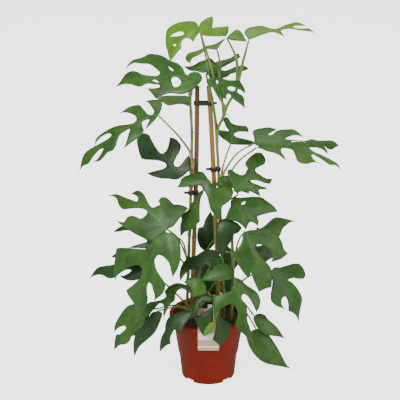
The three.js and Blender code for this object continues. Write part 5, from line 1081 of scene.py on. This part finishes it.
def make_cane(name, painted_shade):
    line = cane_lines[name]
    run = np.linspace(0, length_of(line), len(line))
    off = (run + CANE_JOINT_STEP / 2) % CANE_JOINT_STEP - CANE_JOINT_STEP / 2
    ring = RING_HEIGHT * bulge(off, 0, RING_WIDTH)
    ring += LOWER_RING_HEIGHT * bulge(off, -LOWER_RING_DROP, LOWER_RING_WIDTH)
    radii = (CANE_RADIUS - SKIN_EASE + ring) * (1 + THICKENING * np.sin(run / THICKENING_STEP))
    piece = tubes("bamboo_" + name, [(line, radii)], sides=6)
    heights = np.array([v.co.z for v in piece.data.vertices]) / MM
    scars_and_shade = SCAR_SHARE * bulge(np.interp(heights, line[:, 2], off), SCAR_AT, SCAR_WIDTH)
    # Painted shade: the skin is darkened towards the top of the cane, where it stands behind the stalks.
    scars_and_shade = np.maximum(scars_and_shade, painted_shade * np.clip((heights - SHADE_FROM) / SHADE_RISE, 0, 1))
    piece.data.attributes.new("scar_and_shade", "FLOAT", "POINT").data.foreach_set("value", scars_and_shade.astype(np.float32))
    piece.data.materials.append(bamboo)
    return stand_in(piece, name)


# Only the left cane is given painted shade towards its top.
canes = [make_cane("cane_left", painted_shade=0.72), make_cane("cane_right", painted_shade=0.0)]
print("canes:", [piece.name for piece in canes])

# %% [markdown]
# The stems climb beside the canes. A climbing stem has a swollen joint wherever a leaf stalk leaves it,
# the stalk's foot clasps the stem, and the stalk thickens again just below the blade, where it bends.
# The lower part of each long stem follows its cane, and the rest goes by the pixels that it passes.

# %% Where the stems and stalks run
STEM_RADIUS = 4
CANE_ROOM = 1.3
BESIDE = CANE_RADIUS + STEM_RADIUS + CANE_ROOM
STEM_FOOT = 95
STEM_POINTS, STALK_POINTS = 300, 60
STALK_RADIUS = 2.3
STALK_TIP_RADIUS = 1.6
STALK_RISE = 0.14
TUCK = 0.9
FOOT_SWELL, FOOT_WIDTH = 1.1, 14
KNEE_SWELL, KNEE_WIDTH, KNEE_DROP = 0.35, 5, 7
STOUT_FROM = 0.12
STOUT = {"leaf_crown_right": 1.1, "leaf_crown_hood": 1.1, "leaf_crown_young": 0.7, "leaf_left_long": 0.5}


def beside_cane(name, side, heights):
    return [at_height(cane_lines[name], z) * (1, 1, 0) + (side * BESIDE, 0, z) for z in heights]


def spots(*places):
    return [seen(*place) for place in places]


STEMS = {
    "stem_left": beside_cane("cane_left", -1, (STEM_FOOT, 180, 260, 340, 420, 500, 560))
    + spots((190.4, 105, 0), (190, 84, 2)),
    "stem_right": beside_cane("cane_right", 1, (STEM_FOOT, 180, 260, 340, 420, 500, 540))
    + spots((218.5, 127, 2), (222.5, 119, 4), (226, 108, 6), (231, 99, 6), (236, 91, 6), (238, 82, 6)),
    "stem_front": [(-12, -30, STEM_FOOT)] + spots((199, 290, 40), (200, 262, 38)),
    "stem_low_right": [(48, -12, STEM_FOOT)] + spots((233, 280, 18), (232, 240, 20), (230, 212, 18)),
    "stem_back": [(22, 42, STEM_FOOT)] + spots((216.5, 250, -42), (214.7, 200, -40), (212.4, 150, -36)),
}


def stalk_line(leaf, stem):
    start = at_height(stem, leaf.on[1])
    base = seen(*leaf.base)
    normal = facing(*leaf.faces)
    way = [seen(*spot) for spot in leaf.through]
    if not way:
        way = [(start + base) / 2 + np.array((0, 0, STALK_RISE * np.linalg.norm(base - start)))]
    steep = unit(base - way[-1]) @ normal
    end = base - normal * math.copysign(TUCK, steep)
    return smooth_curve([start, *way, end], STALK_POINTS)


def stalk_radii(line, more=0):
    run = np.linspace(0, length_of(line), len(line))
    radii = STALK_RADIUS + (STALK_TIP_RADIUS - STALK_RADIUS) * run / run[-1]
    radii = radii + FOOT_SWELL * bulge(run, 0, FOOT_WIDTH)
    radii = radii + more * np.sin(np.pi * np.clip(run / run[-1] + STOUT_FROM, 0, 1)) ** 0.5
    return radii + KNEE_SWELL * bulge(run, run[-1] - KNEE_DROP, KNEE_WIDTH)


stem_lines = {name: smooth_curve(places, STEM_POINTS) for name, places in STEMS.items()}
print("stem lengths in mm:", [round(length_of(line)) for line in stem_lines.values()])

# %% [markdown]
# Short brown aerial roots stand out of the joints, and dry, papery sheaths wrap the feet of some stalks.
# Both are joined to the green piece of their stem, with a material of their own.

# %% Stems with their stalks, roots and sheaths
stem_skins = [
    mottled_material("stem", (0.17, 0.27, 0.04), (0.08, 0.16, 0.022), 45, 0.22, (900.0, 2.0, 0.2, 0.0003),
                     Roughness=0.42)[0],
    mottled_material("aerial_root", (0.3, 0.17, 0.08), (0.12, 0.06, 0.03), 300, 0.25, Roughness=0.8)[0],
    mottled_material("sheath", (0.42, 0.3, 0.15), (0.2, 0.12, 0.05), 160, 0.25, (1400.0, 3.0, 0.5, 0.0004),
                     Roughness=0.7)[0],
]
# For each root its height, its direction from the front in degrees and its length; for each sheath its
# length and how far it stands off the stalk
ROOTS = {
    "stem_left": [(330, -80, 9), (404, 170, 12), (510, 40, 18), (560, 30, 12), (250, -60, 9), (225, -75, 9)],
    "stem_right": [(300, 100, 9), (390, 150, 10), (520, 170, 12), (600, 60, 12)],
    "stem_back": [(200, 190, 10), (340, 160, 12)],
}
SHEATHS = {"leaf_left_long": (105, 1.9), "leaf_left_upper": (60, 1.2), "leaf_right_long": (30, 1.2),
           "leaf_left_dark": (25, 1.2), "leaf_front_left": (30, 1.2)}
ROOT_POINTS, ROOT_RADIUS, ROOT_TIP_RADIUS = 14, 1.05, 0.4
ROOT_RISE, ROOT_FALL = 10, -15
RAGGED, FOLDS = 0.08, 1.3
JOINT_SWELL, JOINT_WIDTH = 0.8, 5
STEM_EASE, STEM_TAPER, STEM_END = 0.35, 0.7, (0.9, 0.7, 0.35)


def sheath(size, room, stalk, radii):
    """A dry sheath round the foot of a stalk, with slightly ragged folds."""
    run = np.linspace(0, length_of(stalk), len(stalk))
    keep = run < size
    ragged = 1 + RAGGED * np.sin(run[keep] * FOLDS)
    return stalk[keep], (radii[keep] + room * (1 - (run[keep] / size) ** 3)) * ragged


def aerial_root(line, z, turn, length):
    start = at_height(line, z)
    reach = STEM_RADIUS + length
    way = [start, start + facing(turn, ROOT_RISE) * reach * 0.5, start + facing(turn, ROOT_FALL) * reach]
    return smooth_curve(way, ROOT_POINTS), np.linspace(ROOT_RADIUS, ROOT_TIP_RADIUS, ROOT_POINTS)


def make_stem(name):
    line = stem_lines[name]
    grown = [leaf for leaf in LEAVES if leaf.on[0] == name]
    heights = sorted({leaf.on[1] for leaf in grown})
    swell = sum(JOINT_SWELL * bulge(line[:, 2], z, JOINT_WIDTH) for z in heights)
    along = np.linspace(0, 1, len(line))
    radii = (STEM_RADIUS - STEM_EASE - STEM_TAPER * along ** 2) + np.minimum(swell, JOINT_SWELL)
    radii[-3:] *= STEM_END
    stalks = {leaf.name: stalk_line(leaf, line) for leaf in grown}
    stalks = {key: (stalk, stalk_radii(stalk, STOUT.get(key, 0))) for key, stalk in stalks.items()}
    green = tubes("green_" + name, [(line, radii), *stalks.values()])
    wraps = [sheath(*SHEATHS[key], *stalk) for key, stalk in stalks.items() if key in SHEATHS]
    twigs = [aerial_root(line, *root) for root in ROOTS.get(name, ())]
    pieces = [(green, 0)]
    if wraps:
        pieces.append((tubes("sheaths_" + name, wraps), 2))
    if twigs:
        pieces.append((tubes("brown_" + name, twigs, sides=2), 1))
    bpy.ops.object.select_all(action="DESELECT")
    for piece, skin in pieces:
        for material in stem_skins:
            piece.data.materials.append(material)
        piece.data.polygons.foreach_set("material_index", [skin] * len(piece.data.polygons))
        piece.select_set(True)
    bpy.context.view_layer.objects.active = green
    if len(pieces) > 1:
        bpy.ops.object.join()
    return stand_in(green, name)


stems = [make_stem(name) for name in STEMS]
print("stems:", len(stems))

# %% [markdown]
# ## The pot
# A thin moulded nursery pot with a drop lip, a small step in its wall, a foot ring with four notches and
# drainage holes beside them. Its profile is turned with the spin tool, because one profile holds the
# inside and the outside of the wall. The notches and holes are then cut with booleans.

# %% Turn the pot
POT_PROFILE = [
    (0, 0), (30, 0), (32, 5.5), (54, 5.5), (54, 0), (58, 0), (63.5, 54), (65.5, 57), (78.24, 143.2),
    (83.2, 143.2), (83.2, 137), (85, 137), (85, 144), (84, 145), (76.7, 145), (63.7, 57), (61.7, 54),
    (57.02, 8), (29.5, 8), (27.5, 2.5), (0, 2.5),
]
POT_STEPS = 128


def turn_profile(name, profile, steps):
    """Turns a profile of (radius, height) in mm round the upright axis into a closed mesh."""
    mesh = bpy.data.meshes.new(name)
    points = [(r * MM, 0, z * MM) for r, z in profile]
    mesh.from_pydata(points, [(i, i + 1) for i in range(len(points) - 1)], [])
    piece = new_piece(name, mesh)
    bpy.ops.object.mode_set(mode="EDIT")
    bpy.ops.mesh.select_all(action="SELECT")
    bpy.ops.mesh.spin(steps=steps, angle=2 * math.pi, center=(0, 0, 0), axis=(0, 0, 1))
    bpy.ops.mesh.select_all(action="SELECT")
    bpy.ops.mesh.remove_doubles(threshold=0.02 * MM)
    bpy.ops.mesh.normals_make_consistent(inside=False)
    bpy.ops.object.mode_set(mode="OBJECT")
    return piece


pot = turn_profile("nursery_pot", POT_PROFILE, POT_STEPS)
print("turned faces:", len(pot.data.polygons))

# %% [markdown]
# Cutting and bevelling leave points almost on top of each other, so the mesh is welded after each.

# %% Cut the notches and holes, and soften the edges
NOTCH_RADIUS, NOTCH_SIZE = 0.058, (0.020, 0.023, 0.010)
HOLE_RING_RADIUS, HOLE_RADIUS, HOLE_TURN = 0.043, 0.005, 0.05


def weld(piece, gap):
    """Joins points that are closer than a gap, and drops the slivers between them."""
    alone(piece)
    bpy.ops.object.mode_set(mode="EDIT")
    bpy.ops.mesh.select_all(action="SELECT")
    bpy.ops.mesh.remove_doubles(threshold=gap)
    bpy.ops.mesh.dissolve_degenerate(threshold=gap)
    bpy.ops.object.mode_set(mode="OBJECT")


def cut_away(piece, tool):
    """Cuts one mesh from another and removes the tool."""
    alone(piece)
    apply(piece, "cut", "BOOLEAN", operation="DIFFERENCE", object=tool, solver="EXACT")
    bpy.data.objects.remove(tool)


for corner in (45, 135, 225, 315):
    angle = math.radians(corner)
    notch, hole = ((r * math.cos(angle), r * math.sin(angle), 0) for r in (NOTCH_RADIUS, HOLE_RING_RADIUS))
    bpy.ops.mesh.primitive_cube_add(size=1, location=notch, rotation=(0, 0, angle), scale=NOTCH_SIZE)
    cut_away(pot, bpy.context.object)
    bpy.ops.mesh.primitive_cylinder_add(vertices=24, radius=HOLE_RADIUS, depth=0.03, location=hole,
                                        rotation=(0, 0, HOLE_TURN))
    cut_away(pot, bpy.context.object)
weld(pot, 0.03 * MM)
apply(pot, "soft edges", "BEVEL", width=0.5 * MM, segments=2, limit_method="ANGLE",
      angle_limit=math.radians(35))
weld(pot, 0.01 * MM)
bpy.ops.object.shade_smooth_by_angle(angle=math.radians(30))
stand_in(pot, "pot")
print("pot faces:", len(pot.data.polygons))

# %% [markdown]
# The plastic is brick red, a little uneven from the recycled stock, with a fine moulded grain. Faint
# scuffs make it duller in places.

# %% Brick-red plastic


def only(piece, *materials):
    """Gives a piece these materials in place of those that it has."""
    piece.data.materials.clear()
    for material in materials:
        piece.data.materials.append(material)


plastic, plastic_tree, plastic_shader = mottled_material(
    "pot_plastic", (0.24, 0.018, 0.005), (0.17, 0.011, 0.003), 12, 0.3, (700.0, 3.0, 0.18, 0.0003),
    Roughness=0.55, Specular_IOR_Level=0.15)
scuffs = put(plastic_tree, "ShaderNodeTexNoise", Scale=38.0, Detail=6.0, Roughness=0.7)
dull = put(plastic_tree, "ShaderNodeMapRange", Value=scuffs.outputs["Fac"], From_Min=0.3, From_Max=0.75,
           To_Min=0.5, To_Max=0.7)
feed(plastic_tree, plastic_shader, Roughness=dull.outputs["Result"])
only(pot, plastic)
print("pot material:", plastic.name)

# %% [markdown]
# ## The soil
# Dark potting mix fills the pot to about 15 mm below its rim. It is turned like the pot, a little smaller
# than the inside of the wall, and its top is then divided and roughened, or it would show as a flat disc.

# %% Fill the pot with soil
SOIL_PROFILE = [
    (0, 2.9), (27.1, 2.9), (29.1, 8.4), (56.6, 8.4), (61.3, 54), (63.3, 57), (74.1, 129.4), (72, 130),
    (64, 130.3), (54, 131), (44, 131.7), (34, 132), (24, 132.4), (14, 132.7), (6, 132.9), (0, 133),
]
SOIL_STEPS = 72
SOIL_TOP = 0.1295
ROUGH_SCALE, ROUGH_HEIGHT = 90, 0.0016

soil = turn_profile("potting_mix", SOIL_PROFILE, SOIL_STEPS)
bpy.ops.object.mode_set(mode="EDIT")
bpy.ops.mesh.select_all(action="DESELECT")
shape = bmesh.from_edit_mesh(soil.data)
for face in shape.faces:
    if face.calc_center_median().z > SOIL_TOP:
        face.select_set(True)
bmesh.update_edit_mesh(soil.data)
bpy.ops.mesh.subdivide(number_cuts=1)
bpy.ops.object.mode_set(mode="OBJECT")
for vertex in soil.data.vertices:
    if vertex.co.z > SOIL_TOP:
        vertex.co.z += noise.fractal(vertex.co * ROUGH_SCALE, 1.0, 2.0, 4) * ROUGH_HEIGHT
print("soil faces:", len(soil.data.polygons))

# %% [markdown]
# Crumbs, bark chips and a few white grains of perlite lie half sunk in the top. Each is a small sphere
# that is flattened and dented in its own way, since copies of one crumb would be seen as copies. All are
# joined to the soil.

# %% Crumbs, bark and perlite
CRUMBS = 260
CRUMB_FIELD = 71
CRUMB_LEVEL, CRUMB_SLOPE = 132.6, 2.2
PERLITE_SHARE, BARK_SHARE = 0.12, 0.55
PERLITE_SIZE, CRUMB_SIZE, CRUMB_SPREAD = 1.3, 1.1, 2.2
FLATTER = ((0.55, 0.5), (0.45, 0.4))
DENT, DENT_SCALE = 0.3, 700
GRAIN = (1100.0, 4.0, 0.7, 0.0008)
SOIL_TONES = (("potting_mix", (0.045, 0.028, 0.018), (0.014, 0.009, 0.007), 0.95),
              ("bark", (0.15, 0.08, 0.04), (0.05, 0.026, 0.014), 0.85),
              ("perlite", (0.72, 0.7, 0.66), (0.5, 0.48, 0.44), 0.9))
soil_materials = [mottled_material(name, light, dark, 420, 0.2, GRAIN, Roughness=roughness)[0]
                  for name, light, dark, roughness in SOIL_TONES]
draw = np.random.default_rng(8).random


def make_crumb(number):
    out = CRUMB_FIELD * math.sqrt(draw())
    turn = draw() * 2 * math.pi
    kind = draw()
    perlite = kind <= PERLITE_SHARE
    size = PERLITE_SIZE + draw() if perlite else CRUMB_SIZE + CRUMB_SPREAD * draw() ** 2
    height = CRUMB_LEVEL - CRUMB_SLOPE * (out / CRUMB_FIELD) ** 2
    bpy.ops.mesh.primitive_ico_sphere_add(
        subdivisions=1, radius=size * MM, rotation=tuple(draw(3) * 3),
        location=(out * math.cos(turn) * MM, out * math.sin(turn) * MM, height * MM))
    crumb = bpy.context.object
    crumb.scale = (1, *(least + more * draw() for least, more in FLATTER))
    for vertex in crumb.data.vertices:
        vertex.co *= 1 + DENT * noise.noise(vertex.co * DENT_SCALE + Vector((number, 0, 0)))
    for face in crumb.data.polygons:
        face.material_index = 2 if perlite else int(kind > 1 - BARK_SHARE)
    return crumb


crumbs = [make_crumb(number) for number in range(CRUMBS)]
bpy.ops.object.select_all(action="DESELECT")
for piece in [soil, *crumbs]:
    piece.select_set(True)
    only(piece, *soil_materials)
bpy.context.view_layer.objects.active = soil
bpy.ops.object.join()
stand_in(soil, "soil")
print("crumbs:", len(crumbs), "soil faces:", len(soil.data.polygons))

# %% [markdown]
# ## Ties and label
# The ties are loops of black plastic with a flat tail, and their CAD nodes have the right shape, so they
# only get their finish.

# %% Ties
tie_plastic = mottled_material("tie_plastic", (0.022, 0.022, 0.024), (0.008, 0.008, 0.009), 200, 0.3,
                               (1500.0, 2.0, 0.3, 0.0002), Roughness=0.38)[0]
ties = [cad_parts[name] for name in ("tie_top", "tie_right", "tie_left")]
for tie in ties:
    only(tie, tie_plastic)
print("ties:", len(ties))

# %% [markdown]
# The card hangs over the rim by a tongue, and keeps its CAD shape too. It is plain tan card with a white
# band across its middle and a pale stripe near its foot, so a ramp over its height gives its colours.

# %% The plant label
TAN, WHITE = (0.55, 0.4, 0.26), (0.86, 0.84, 0.8)
BANDS = [(0.0, TAN), (0.07, (0.82, 0.76, 0.66)), (0.1, TAN), (0.225, WHITE), (0.37, (0.55, 0.42, 0.3)),
         (0.9, WHITE)]
CARD_FOOT, CARD_HEAD = 0.1, 0.21

card, card_tree, card_shader = new_material("label_card", Roughness=0.55)
card_place = put(card_tree, "ShaderNodeTexCoord").outputs["Object"]
upright = put(card_tree, "ShaderNodeSeparateXYZ", Vector=card_place).outputs["Z"]
share = put(card_tree, "ShaderNodeMapRange", Value=upright, From_Min=CARD_FOOT, From_Max=CARD_HEAD)
bands = put(card_tree, "ShaderNodeValToRGB", Fac=share.outputs["Result"])
bands.color_ramp.interpolation = "CONSTANT"
set_ramp(bands, BANDS)
feed(card_tree, card_shader, Base_Color=bands.outputs["Color"])
fibre = put(card_tree, "ShaderNodeTexNoise", Scale=900.0, Detail=3.0)
emboss(card_tree, card_shader, fibre.outputs["Fac"], 0.15, 0.0002)
only(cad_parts["plant_label"], card)
print("label bands:", len(BANDS))
